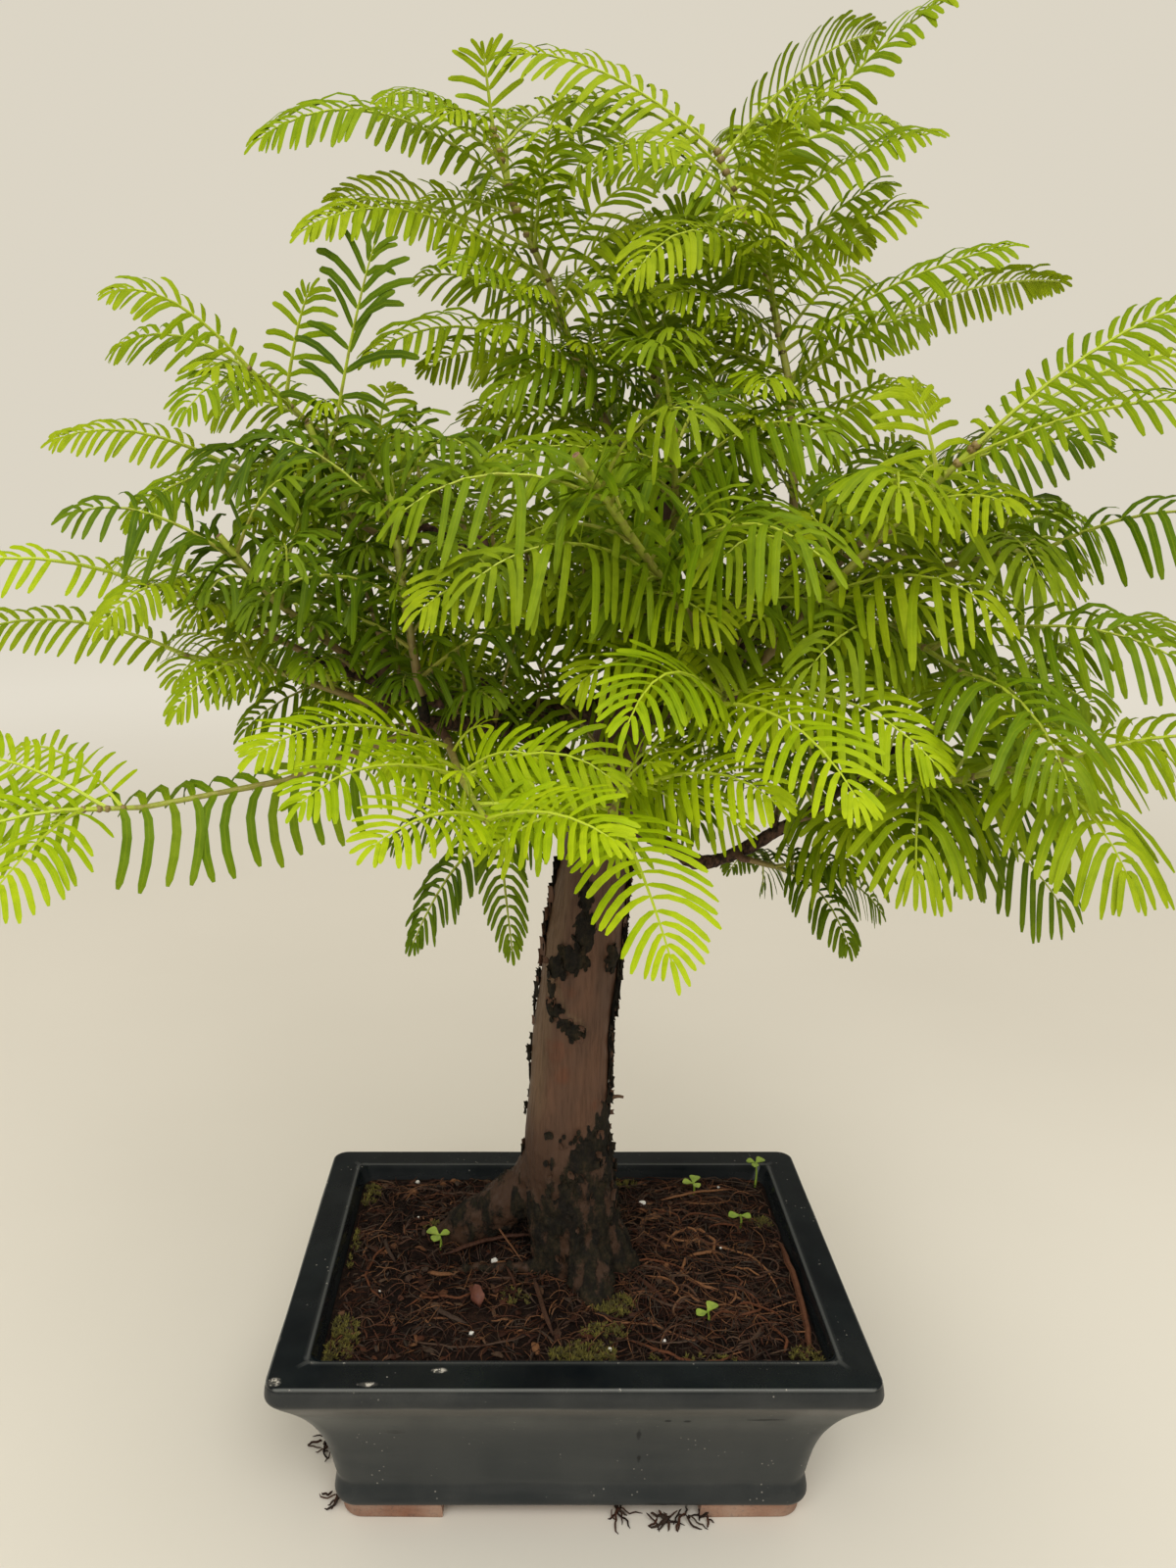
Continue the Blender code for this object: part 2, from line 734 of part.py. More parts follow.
def l_foot(name, sign_x, sign_y, group):
    """One corner foot, an L in plan with its outer corner rounded."""
    outline = [(-FOOT_LONG, 0.0)]
    for step in range(CORNER_STEPS + 1):
        angle = math.radians(90 - 90 * step / CORNER_STEPS)
        x = FOOT_CORNER * (math.cos(angle) - 1)
        y = FOOT_CORNER * (math.sin(angle) - 1)
        outline.append((x, y))
    outline += [(0.0, -FOOT_DEEP), (-FOOT_WIDE, -FOOT_DEEP)]
    outline += [(-FOOT_WIDE, -FOOT_WIDE), (-FOOT_LONG, -FOOT_WIDE)]
    points = []
    for height, inset in ((0.0, FOOT_TAPER), (FOOT_TOP, 0.0)):
        for x, y in outline:
            far_x = FOOT_OUTER_X - inset + x
            far_y = FOOT_OUTER_Y - inset + y
            points.append((sign_x * far_x, sign_y * far_y, height))
    count = len(outline)
    faces = [list(range(count)), list(range(2 * count - 1, count - 1, -1))]
    for step in range(count):
        after = (step + 1) % count
        faces.append([step, step + count, after + count, after])
    item = add_mesh(name, mesh_from(name, points, faces), group)
    weld(item.data)
    return item


def build_pot(group, material):
    rings = [rounded_ring(*section) for section in POT_SECTIONS]
    points, faces = stacked_rings(rings)
    pot = add_mesh("pot", mesh_from("pot", points, faces), group)
    weld(pot.data)
    feet = []
    for sign_x in (-1, 1):
        for sign_y in (-1, 1):
            feet.append(l_foot("foot", sign_x, sign_y, group))
    boolean(pot, "UNION", feet)
    drills = []
    for side in (-1, 1):
        drills.append(upright_rod("drill", side * DRAIN_X, 0, -5, 20, DRAIN_RADIUS, group))
    boolean(pot, "DIFFERENCE", drills)
    give_material(pot, material)


def build_drain_mesh(name, centre_x, group, material):
    """A square of plastic netting over a drain hole."""
    low = POT_SECTIONS[0][0] + GAP
    half = MESH_SIDE / 2
    net = block(name, (centre_x - half, -half, low), (centre_x + half, half, low + MESH_THICK), group)
    holes = []
    pitch = MESH_SIDE / MESH_HOLES
    reach = (pitch - MESH_STRAND) / 2
    for row in range(MESH_HOLES):
        for column in range(MESH_HOLES):
            x = centre_x - half + pitch * (column + 0.5)
            y = -half + pitch * (row + 0.5)
            near = (x - reach, y - reach, low - 1)
            far = (x + reach, y + reach, low + 2)
            holes.append(block("hole", near, far, group))
    boolean(net, "DIFFERENCE", holes)
    give_material(net, material)


def soil_bump(x, y):
    """Unevenness of the soil in millimetres: broad swells with smaller lumps on them."""
    spot = Vector((x * 0.09, y * 0.09, 4.0))
    return 1.1 * noise.noise(spot) + 0.6 * noise.noise(spot * 2.7)


def build_soil(group, material, cutters):
    rings = [rounded_ring(*section) for section in SOIL_SECTIONS]
    height, half_x, half_y, radius = SOIL_SECTIONS[-1]
    for share, level in SOIL_RINGS:
        ring = rounded_ring(level, half_x * share, half_y * share, radius * share)
        shift = SOIL_MOUND_SHIFT * (1 - share)
        rings.append([(x + shift, y, z + soil_bump(x, y)) for x, y, z in ring])
    points, faces = stacked_rings(rings)
    faces = [face[::-1] for face in faces]
    soil = add_mesh("soil", mesh_from("soil", points, faces), group)
    weld(soil.data)
    low = POT_SECTIONS[0][0] - 1
    top = POT_SECTIONS[0][0] + GAP + MESH_THICK + GAP
    half = MESH_SIDE / 2 + GAP
    for side in (-1, 1):
        x = side * DRAIN_X
        cutters.append(block("pocket", (x - half, -half, low), (x + half, half, top), group))
    boolean(soil, "DIFFERENCE", cutters, solver="MANIFOLD")
    keep_largest_body(soil)
    give_material(soil, material)


def nearest_on_limbs(point):
    """The closest place on any limb or the upper trunk, with the radius there."""
    best = None
    for line in list(LIMBS.values()) + [TRUNK_LINE[TRUNK_CLEAR_TO:]]:
        for first, second in zip(line, line[1:]):
            a = Vector(first[:3])
            b = Vector(second[:3])
            share = max(0.0, min(1.0, (point - a).dot(b - a) / (b - a).length_squared))
            place = a.lerp(b, share)
            gap = (place - point).length
            if best is None or gap < best[0]:
                best = (gap, place, first[3] + (second[3] - first[3]) * share)
    return best[1], best[2]


def twig_line(stem, radius):
    """A short woody twig from a limb up to the seat of a leafy stem, facing along it."""
    seat = Vector(stem[0])
    ahead = (Vector(stem[1]) - seat).normalized()
    before = seat - ahead * TWIG_STRAIGHT
    start, limb_radius = nearest_on_limbs(before)
    if (start - before).length < TWIG_NEAR:
        inside = seat - ahead * (TWIG_STRAIGHT + 1)
        return [(*inside, radius * 1.1), (*seat, radius * 1.1)]
    base = min(radius * 1.3, limb_radius * 0.8)
    return [(*start, base), (*before, radius * 1.15), (*seat, radius * 1.1)]


def grown_line(line, grown):
    """A line made thicker by that much, and longer at its far end."""
    fat = [(x, y, z, radius + grown) for x, y, z, radius in line]
    end = Vector(line[-1][:3])
    end += (end - Vector(line[-2][:3])).normalized() * grown
    fat[-1] = (*end, fat[-1][3])
    return fat


def trunk_centre_x(height):
    for first, second in zip(TRUNK_LINE, TRUNK_LINE[1:]):
        if height <= second[2]:
            share = max(0.0, (height - first[2]) / (second[2] - first[2]))
            return first[0] + (second[0] - first[0]) * share
    return TRUNK_LINE[-1][0]


def make_uneven(trunk):
    """Three broad flutes at the foot that fade upwards, and five faint ones all the way."""
    for vert in trunk.data.vertices:
        spot = vert.co / MM
        if spot.z > FLUTES_TO:
            continue
        centre_x = trunk_centre_x(spot.z)
        turn = math.atan2(spot.y, spot.x - FLUTE_CENTRE_X)
        low = max(0.0, min(1.0, (ROOT_SWELL_TO - spot.z) / ROOT_SWELL_FADE))
        swell = 1.0 + 0.05 * math.sin(3 * turn + spot.z * 0.05) * low
        swell += 0.02 * math.sin(5 * turn + spot.z * 0.11)
        vert.co = Vector((centre_x + (spot.x - centre_x) * swell, spot.y * swell, spot.z)) * MM


def build_trunk_bed(group):
    """What the soil leaves free: the buried trunk and its roots, with a gap all round."""
    room = GAP + BED_ROOM
    line = grown_line(TRUNK_LINE[:TRUNK_CLEAR_TO], room)
    x, y, z, radius = line[0]
    line[0] = (x, y, z - room, radius)
    bed = tube("trunk_bed", line, group, TRUNK_SIDES_LEVEL)
    make_uneven(bed)
    roots = []
    for number, root in enumerate(ROOTS):
        roots.append(tube("root_bed", grown_line(root, room), group, root_sides(number)))
    boolean(bed, "UNION", roots, solver="MANIFOLD")
    return bed


def root_sides(number):
    return 0 if number == len(ROOTS) - 1 else 1


def build_trunk(group, material):
    """Trunk, roots, limbs and the woody twigs that carry the leafy stems, all in one."""
    trunk = tube("trunk", TRUNK_LINE, group, TRUNK_SIDES_LEVEL)
    make_uneven(trunk)
    joined = []
    for number, root in enumerate(ROOTS):
        joined.append(tube("root", root, group, root_sides(number)))
    for limb in LIMBS.values():
        joined.append(tube("limb", limb, group))
    for spray in SPRAYS.values():
        joined.append(tube("twig", twig_line(spray["stem"], spray["radius"]), group))
    boolean(trunk, "UNION", joined, solver="MANIFOLD")
    give_material(trunk, material)
    return trunk


def along(points, share):
    """The point and the direction at a share of a line's length."""
    vectors = [Vector(p) for p in points]
    lengths = [(b - a).length for a, b in zip(vectors, vectors[1:])]
    left = share * sum(lengths)
    for a, b, length in zip(vectors, vectors[1:], lengths):
        if left <= length + 1e-6:
            return a.lerp(b, min(1.0, left / length)), (b - a).normalized()
        left -= length
    return vectors[-1], (vectors[-1] - vectors[-2]).normalized()


def bow(start, tip, rise, share):
    middle = (start + tip) / 2 + Vector((0, 0, 2 * rise))
    return start * (1 - share) ** 2 + middle * 2 * share * (1 - share) + tip * share ** 2


def sideways(direction, tip_y):
    """Across a frond, with its upper face turned a little to the nearer side of the tree."""
    facing = Vector((0, -0.9 if tip_y < 15 else 0.9, 1.0))
    return direction.cross(facing).normalized()


def prism(corners, lift):
    """A thin closed wedge about a flat shape, as points and faces, for testing clearance."""
    count = len(corners)
    normal = (corners[1] - corners[0]).cross(corners[2] - corners[0]).normalized() * lift
    points = [corner + normal for corner in corners] + [corner - normal for corner in corners]
    faces = [tuple(range(count)), tuple(range(2 * count - 1, count - 1, -1))]
    for step in range(count):
        after = (step + 1) % count
        faces.append((step, step + count, after + count, after))
    return points, faces


def tree_of(points, faces):
    return BVHTree.FromPolygons([tuple(p) for p in points], faces)


def object_tree(item):
    mesh = item.data
    mesh.calc_loop_triangles()
    points = [vert.co / MM for vert in mesh.vertices]
    return tree_of(points, [tuple(triangle.vertices) for triangle in mesh.loop_triangles])


class Frond:
    """The rib of one frond with opposite leaflets, all cut from a single thin blade."""

    def __init__(self, start, tip, rise, leaflet, hang):
        self.start = start
        self.tip = tip
        self.rise = rise
        self.leaflet = leaflet
        self.hang = hang
        self.length = (tip - start).length
        self.pairs = max(2, round(self.length / PAIR_PITCH))
        self.bare = BARE_FOOT
        self.blunt = False
        self.rib_width = RIB_WIDTH
        self.rib_depth = RIB_DEPTH

    def place(self, share):
        point = bow(self.start, self.tip, self.rise, share)
        ahead = bow(self.start, self.tip, self.rise, min(1.0, share + 0.02))
        behind = bow(self.start, self.tip, self.rise, max(0.0, share - 0.02))
        direction = (ahead - behind).normalized()
        across = sideways(direction, self.tip.y)
        return point, direction, across, across.cross(direction).normalized()

    def leaflet_size(self, share):
        """Longest in the middle of the frond, and shorter towards both ends."""
        swell = math.sin(math.pi * min(1.0, 0.12 + share * 0.95))
        return self.leaflet * min(1.08, 0.72 + 0.5 * swell)

    def leaflet_tip(self, share, side, reach, bend):
        point, direction, across, normal = self.place(share)
        lean = math.radians(64 - 20 * share)
        out = across * side * math.sin(lean) + direction * math.cos(lean)
        edge = point + across * side * self.rib_width / 2
        flat = out * math.sqrt(1 - self.hang * self.hang) * reach
        return edge + flat - Vector((0, 0, self.hang * reach)) + normal * bend

    def build(self, blocked):
        """Points and triangles: a three-sided rib with a leaflet cut out of each side at every pair.

        Each leaflet is bent, shortened or left out to stay clear of what stands near it.
        """
        points = []
        faces = []

        def rib_top(share):
            point, direction, across, normal = self.place(share)
            half = across * self.rib_width / 2
            points.extend([point + half, point - half])
            return len(points) - 2, len(points) - 1

        def rib_keel(share):
            point, direction, across, normal = self.place(share)
            points.append(point - normal * self.rib_depth)
            return len(points) - 1

        def bridge(old, new, old_keel, new_keel):
            faces.extend([(old[0], old[1], new[1]), (old[0], new[1], new[0])])
            faces.extend([(old[0], new[0], new_keel), (old[0], new_keel, old_keel)])
            faces.extend([(old[1], old_keel, new_keel), (old[1], new_keel, new[1])])

        first = self.bare / self.length
        last = 1 - 0.55 * self.leaflet / self.length
        before = rib_top(0.0)
        before_keel = rib_keel(0.0)
        faces.append((before[0], before_keel, before[1]))
        for number in range(self.pairs):
            share = first + (last - first) * (number + 0.35) / self.pairs
            step = LEAFLET_BASE / 2 / self.length
            near = rib_top(share - step)
            far = rib_top(share + step)
            keel = rib_keel(share)
            bridge(before, near, before_keel, keel)
            faces.extend([(near[0], near[1], far[1]), (near[0], far[1], far[0])])
            size = self.leaflet_size(share)
            for side, a, b in ((1, near[0], far[0]), (-1, far[1], near[1])):
                tip = self.clear_tip(points[a], points[b], share, side, size, blocked)
                if tip is None:
                    faces.append((a, b, keel))
                elif self.blunt:
                    along_rib = (points[b] - points[a]).normalized() * BLUNT_TIP / 2
                    below = tip - self.place(share)[3] * BLUNT_DEPTH
                    points.extend([tip - along_rib, tip + along_rib, below])
                    under = len(points) - 1
                    two = under - 1
                    one = under - 2
                    faces.extend([(a, b, two), (a, two, one), (one, two, under)])
                    faces.extend([(a, one, under), (a, under, keel)])
                    faces.extend([(b, under, two), (b, keel, under)])
                else:
                    points.append(tip)
                    top = len(points) - 1
                    faces.extend([(a, b, top), (a, top, keel), (b, keel, top)])
            before = far
            before_keel = keel
        end = rib_top(last + 0.01)
        end_keel = rib_keel(last + 0.01)
        bridge(before, end, before_keel, end_keel)
        points.append(self.tip.copy())
        top = len(points) - 1
        faces.extend([(end[0], end[1], top), (end[0], top, end_keel), (end[1], end_keel, top)])
        return points, faces

    def clear_tip(self, a, b, share, side, size, blocked):
        """Where a leaflet's tip can be with nothing in its way, or None."""
        edge = (b - a).normalized() * 0.5
        room = edge * (3 if self.blunt else 1)
        for shorter in (1.0, 0.75, 0.5):
            for bend in (0, 4, -4, 8, -8):
                tip = self.leaflet_tip(share, side, size * shorter, bend * shorter)
                outline = [a - edge, b + edge, tip + room, tip - room]
                test = tree_of(*prism(outline, LEAFLET_CLEAR))
                if not any(test.overlap(other) for other in blocked):
                    return tip
        return None

    def rib_tree(self):
        """The rib with some room about it, for testing clearance."""
        points = []
        faces = []
        steps = 6
        for step in range(steps):
            one = self.place(step / steps)
            two = self.place((step + 1) / steps)
            corners = [one[0] + one[2], one[0] - one[2], two[0] - two[2], two[0] + two[2]]
            more, sides = prism(corners, RIB_CLEAR)
            faces += [tuple(index + len(points) for index in side) for side in sides]
            points += more
        return tree_of(points, faces)


def closed_object(name, points, faces, group, thickness=0.0):
    """A mesh facing out, given a thickness first where it is only a sheet."""
    item = add_mesh(name, mesh_from(name, points, faces), group)
    if thickness:
        thick = item.modifiers.new("thick", "SOLIDIFY")
        thick.thickness = thickness * MM
        thick.offset = 0.0
        applied(item)
    weld(item.data, 0.000001)
    return item


def grow_stems(group):
    """Every leafy stem as a tube, seated just clear of its twig, with the fronds it will carry."""
    grown = {}
    for name, settings in SPRAYS.items():
        stem = [Vector(point) for point in settings["stem"]]
        radius = settings["radius"]
        line = [stem[0] + (stem[1] - stem[0]).normalized() * GAP] + stem[1:]
        count = len(line) - 1
        end = radius * (0.85 if name in CUT_ENDS else 0.55)
        sized = []
        for step, point in enumerate(line):
            sized.append((*point, radius + (end - radius) * step / count))
        spray = tube(name, sized, group)
        specs = []
        for share, tip, rise, leaflet, hang in settings["fronds"]:
            start, direction = along(line, share)
            if share == 1.0:
                start = start - direction * 1.5
            specs.append(Frond(start, Vector(tip), rise, leaflet, hang))
            specs[-1].blunt = settings["tone"] == "lime"
        if name in HANGING:
            specs.append(HangingRow(line, *HANGING[name]))
        grown[name] = (spray, object_tree(spray), specs)
    return grown


def build_sprays(group, trunk_tree):
    """Fuses each leafy stem with its fronds, leaflets kept clear of all that stands near."""
    grown = grow_stems(group)
    ribs = {}
    for name, (spray, stem_tree, specs) in grown.items():
        for number, frond in enumerate(specs):
            if not isinstance(frond, HangingRow):
                ribs[name, number] = frond.rib_tree()
    leaves = []
    stems = [stem_tree for spray, stem_tree, specs in grown.values()]
    for name, (spray, own_stem, specs) in grown.items():
        blades = []
        for number, frond in enumerate(specs):
            walls = [trunk_tree] + leaves
            walls += [rib for key, rib in ribs.items() if key != (name, number)]
            hanging = isinstance(frond, HangingRow)
            walls += [stem for stem in stems if stem is not own_stem or not hanging]
            points, faces = frond.build(walls)
            blade = closed_object("blade", points, faces, group)
            leaves.append(object_tree(blade))
            blades.append(blade)
        boolean(spray, "UNION", blades, solver="MANIFOLD")
        keep_largest_body(spray)
        give_material(spray, bpy.data.materials["leaf_" + SPRAYS[name]["tone"]])


class HangingRow(Frond):
    """Long leaflets that hang in pairs straight off a stem."""

    def __init__(self, line, low, high, pairs, leaflet):
        self.line = line
        self.low = low
        self.high = high
        self.pairs = pairs
        self.leaflet = leaflet
        self.start, direction = along(line, low)
        self.tip, direction = along(line, high)
        self.length = (self.tip - self.start).length
        self.bare = 2.0
        self.blunt = True
        self.rib_width = HIDDEN_RIB
        self.rib_depth = HIDDEN_RIB

    def place(self, share):
        point, direction = along(self.line, self.low + (self.high - self.low) * share)
        across = direction.cross(Vector((0, 0, 1))).normalized()
        return point, direction, across, across.cross(direction).normalized()

    def leaflet_tip(self, share, side, reach, bend):
        point, direction, across, normal = self.place(share)
        flat = across * side * 0.42 * reach + direction * 0.2 * reach
        return point + flat - Vector((0, 0, 0.88 * reach)) + direction * bend


def build_seedling(name, x, y, turn, group, material):
    """A thin stalk with two oval seed leaves, standing in a hole in the soil."""
    foot = SEED_HOLE_FLOOR + 1
    stalk = tube(name, [(x, y, foot, 0.55), (x, y, SEEDLING_TOP, 0.5)], group)
    leaves = []
    for side in (0, 180):
        heading = math.radians(turn + side)
        out = Vector((math.cos(heading), math.sin(heading), 0.45)).normalized()
        wide = Vector((-math.sin(heading), math.cos(heading), 0))
        base = Vector((x, y, SEEDLING_TOP - 0.5))
        points = [base + out * far + wide * across for far, across in SEED_LEAF]
        faces = [(4, 0, 1), (4, 1, 3), (1, 2, 3)]
        leaves.append(closed_object("leaf", points, faces, group, BLADE_THICK))
    boolean(stalk, "UNION", leaves, solver="MANIFOLD")
    give_material(stalk, material)


def shade_round(name):
    shape = bpy.data.objects[name].data
    shape.shade_smooth()
    shape.set_sharp_from_angle(angle=math.radians(40))


def main():
    clear_scene()
    tree = make_collection("dawn_redwood_bonsai")
    glaze = make_material("glaze", (0.012, 0.035, 0.042), 0.2, coat=0.5)
    earth = make_material("soil", (0.055, 0.022, 0.012), 0.95)
    bark = make_material("bark", (0.16, 0.075, 0.05), 0.85)
    netting = make_material("netting", (0.02, 0.02, 0.02), 0.6)
    seedling_green = make_material("seedling_green", (0.28, 0.5, 0.04), 0.5)
    for tone, colour in TONES.items():
        make_material("leaf_" + tone, colour, 0.5)

    build_pot(tree, glaze)
    build_drain_mesh("drain_mesh_left", -DRAIN_X, tree, netting)
    build_drain_mesh("drain_mesh_right", DRAIN_X, tree, netting)
    cutters = [build_trunk_bed(tree)]
    for x, y, turn in SEEDLINGS:
        low = SEED_HOLE_FLOOR
        hole = upright_rod("seed_hole", x, y, low, low + 22, SEED_HOLE_RADIUS, tree, sides=5)
        cutters.append(hole)
    build_soil(tree, earth, cutters)
    trunk = build_trunk(tree, bark)
    for number, (x, y, turn) in enumerate(SEEDLINGS):
        build_seedling("seedling_%d" % (number + 1), x, y, turn, tree, seedling_green)
    build_sprays(tree, object_tree(trunk))
    for name in ("pot", "soil", "trunk"):
        shade_round(name)


main()
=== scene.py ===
# Dawn redwood bonsai in its glazed pot: the finished look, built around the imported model.
# Settings and tables are in millimetres, and meshes are in metres. The viewer stands on the -Y side.
import math
import random

import bpy
import numpy as np
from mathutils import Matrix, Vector, noise


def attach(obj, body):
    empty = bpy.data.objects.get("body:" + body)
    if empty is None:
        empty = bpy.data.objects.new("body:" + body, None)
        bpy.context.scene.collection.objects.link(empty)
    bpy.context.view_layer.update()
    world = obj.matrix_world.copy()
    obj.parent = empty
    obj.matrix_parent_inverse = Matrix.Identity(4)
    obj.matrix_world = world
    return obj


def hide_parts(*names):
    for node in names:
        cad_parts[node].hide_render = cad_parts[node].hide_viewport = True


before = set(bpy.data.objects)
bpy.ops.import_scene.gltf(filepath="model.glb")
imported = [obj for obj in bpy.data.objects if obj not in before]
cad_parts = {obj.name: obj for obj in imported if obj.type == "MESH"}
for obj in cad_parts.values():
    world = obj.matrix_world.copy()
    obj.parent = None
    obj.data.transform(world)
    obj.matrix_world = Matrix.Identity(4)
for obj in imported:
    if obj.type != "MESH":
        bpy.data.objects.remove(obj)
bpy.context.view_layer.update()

mm = 0.001
downwards = np.array([0.0, 0.0, -1.0])


def smoothStep(low, high, value):
    share = np.clip((value - low) / (high - low), 0.0, 1.0)
    return share * share * (3 - 2 * share)


def unit(vectors):
    return vectors / np.maximum(np.linalg.norm(vectors, axis=-1, keepdims=True), 1e-9)


def throughPoints(points, perSpan):
    # a smooth curve through given points, each row carrying a place and other values
    points = np.asarray(points, float)
    padded = np.vstack([2 * points[0] - points[1], points, 2 * points[-1] - points[-2]])
    rows = []
    for before, first, second, after in zip(padded, padded[1:], padded[2:], padded[3:]):
        for step in range(perSpan):
            t = step / perSpan
            bend = 2 * before - 5 * first + 4 * second - after
            turn = 3 * first - before - 3 * second + after
            rows.append(first + 0.5 * t * (second - before + t * (bend + t * turn)))
    rows.append(points[-1])
    return np.array(rows)


def noiseAt(spots, scale, shift=0.0):
    # noise at each point, with a scale along each axis
    rows = np.asarray(spots, float) * scale + [0.0, 0.0, shift]
    return np.array([noise.noise(Vector(row)) for row in rows.tolist()])


def pointValues(mesh, key):
    values = np.zeros(len(mesh.vertices) * 3)
    mesh.vertices.foreach_get(key, values)
    return values.reshape(-1, 3)


def setMarks(mesh, *columns):
    field = mesh.attributes.new("marks", "FLOAT_VECTOR", "POINT")
    field.data.foreach_set("vector", np.column_stack(columns).astype(np.float32).ravel())


def ringMarks(points, *parts):
    # marks for rings of points: each part is one number, or one for each ring
    marks = np.zeros(np.shape(points))
    for index, part in enumerate(parts):
        marks[..., index] = np.reshape(part, (-1, 1))
    return marks


def newMesh(name, points, faces):
    mesh = bpy.data.meshes.new(name)
    mesh.from_pydata((np.asarray(points, float).reshape(-1, 3) * mm).tolist(), [], faces)
    return mesh


def looseObject(name, data):
    item = bpy.data.objects.new(name, data)
    bpy.context.scene.collection.objects.link(item)
    return item


class Heap:
    # gathers many small shapes into one mesh; marks are three numbers a point for the materials
    def __init__(self):
        self.points = []
        self.faces = []
        self.kinds = []
        self.marks = []
        self.count = 0

    def add(self, points, faces, kind=0, marks=(0.0, 0.0, 0.0)):
        points = np.asarray(points, float).reshape(-1, 3)
        self.points.append(points)
        self.marks.append(np.broadcast_to(np.asarray(marks, float).reshape(-1, 3), points.shape))
        count = self.count
        self.faces.extend([[corner + count for corner in face] for face in faces])
        self.kinds.extend([kind] * len(faces))
        self.count += len(points)

    def piece(self, name, materials, slot, nodes=(), sharp=45):
        mesh = newMesh(name, np.concatenate(self.points), self.faces)
        for material in materials:
            mesh.materials.append(material)
        mesh.polygons.foreach_set("material_index", self.kinds)
        setMarks(mesh, np.concatenate(self.marks))
        finishPiece(name, mesh, nodes, sharp)


def finishPiece(name, mesh, nodes=(), sharp=45):
    mesh.update()
    mesh.shade_smooth()
    mesh.set_sharp_from_angle(angle=math.radians(sharp))
    piece = looseObject(name, mesh)
    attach(piece, "root")
    if nodes:
        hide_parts(*nodes)


def ringFaces(levels, sides, capped=True):
    faces = []
    for level in range(levels - 1):
        for step in range(sides):
            a = level * sides + step
            b = level * sides + (step + 1) % sides
            faces.append([a, b, b + sides, a + sides])
    if capped:
        last = (levels - 1) * sides
        faces.append(list(range(sides - 1, -1, -1)))
        faces.append(list(range(last, last + sides)))
    return faces


def sheetShape(rows, columns, below):
    # a thin closed sheet from the points of its top, and the step down to its underside
    count = len(rows)
    faces = []
    for a in range(count - columns):
        if (a + 1) % columns:
            faces.append([a, a + 1, a + columns + 1, a + columns])
            faces.append([a + count, a + count + columns, a + count + columns + 1, a + count + 1])
    rim = [*range(columns), *range(2 * columns - 1, count, columns)]
    rim += [*range(count - 2, count - columns - 1, -1), *range(count - 2 * columns, 0, -columns)]
    for first, second in zip(rim, rim[1:] + rim[:1]):
        faces.append([first, first + count, second + count, second])
    return np.vstack([rows, rows + below]), faces


def tubeShape(line, radii, sides=6, flatten=1.0):
    line = np.asarray(line, float)
    radii = np.broadcast_to(np.asarray(radii, float), (len(line),))
    tangent = unit(np.gradient(line, axis=0))
    reference = np.zeros(3)
    reference[np.argmin(np.abs(tangent.mean(axis=0)))] = 1.0
    sideA = unit(np.cross(tangent, reference))
    sideB = np.cross(tangent, sideA)
    angles = np.arange(sides) * 2 * np.pi / sides
    spread = np.cos(angles)[None, :, None] * sideA[:, None]
    spread = spread + np.sin(angles)[None, :, None] * sideB[:, None] * flatten
    points = line[:, None] + spread * radii[:, None, None]
    return points, ringFaces(len(line), sides)


def ballShape(centre, size, rows=5, sides=7, seed=0, rough=0.0):
    chance = random.Random(seed)
    points = []
    for row in range(rows):
        height = math.pi * (row + 0.5) / rows
        for step in range(sides):
            turn = 2 * math.pi * step / sides + row * 0.3
            reach = 1 + chance.uniform(-rough, rough)
            spot = (math.sin(height) * math.cos(turn), math.sin(height) * math.sin(turn), -math.cos(height))
            points.append([c + s * part * reach for c, s, part in zip(centre, size, spot)])
    return points, ringFaces(rows, sides)


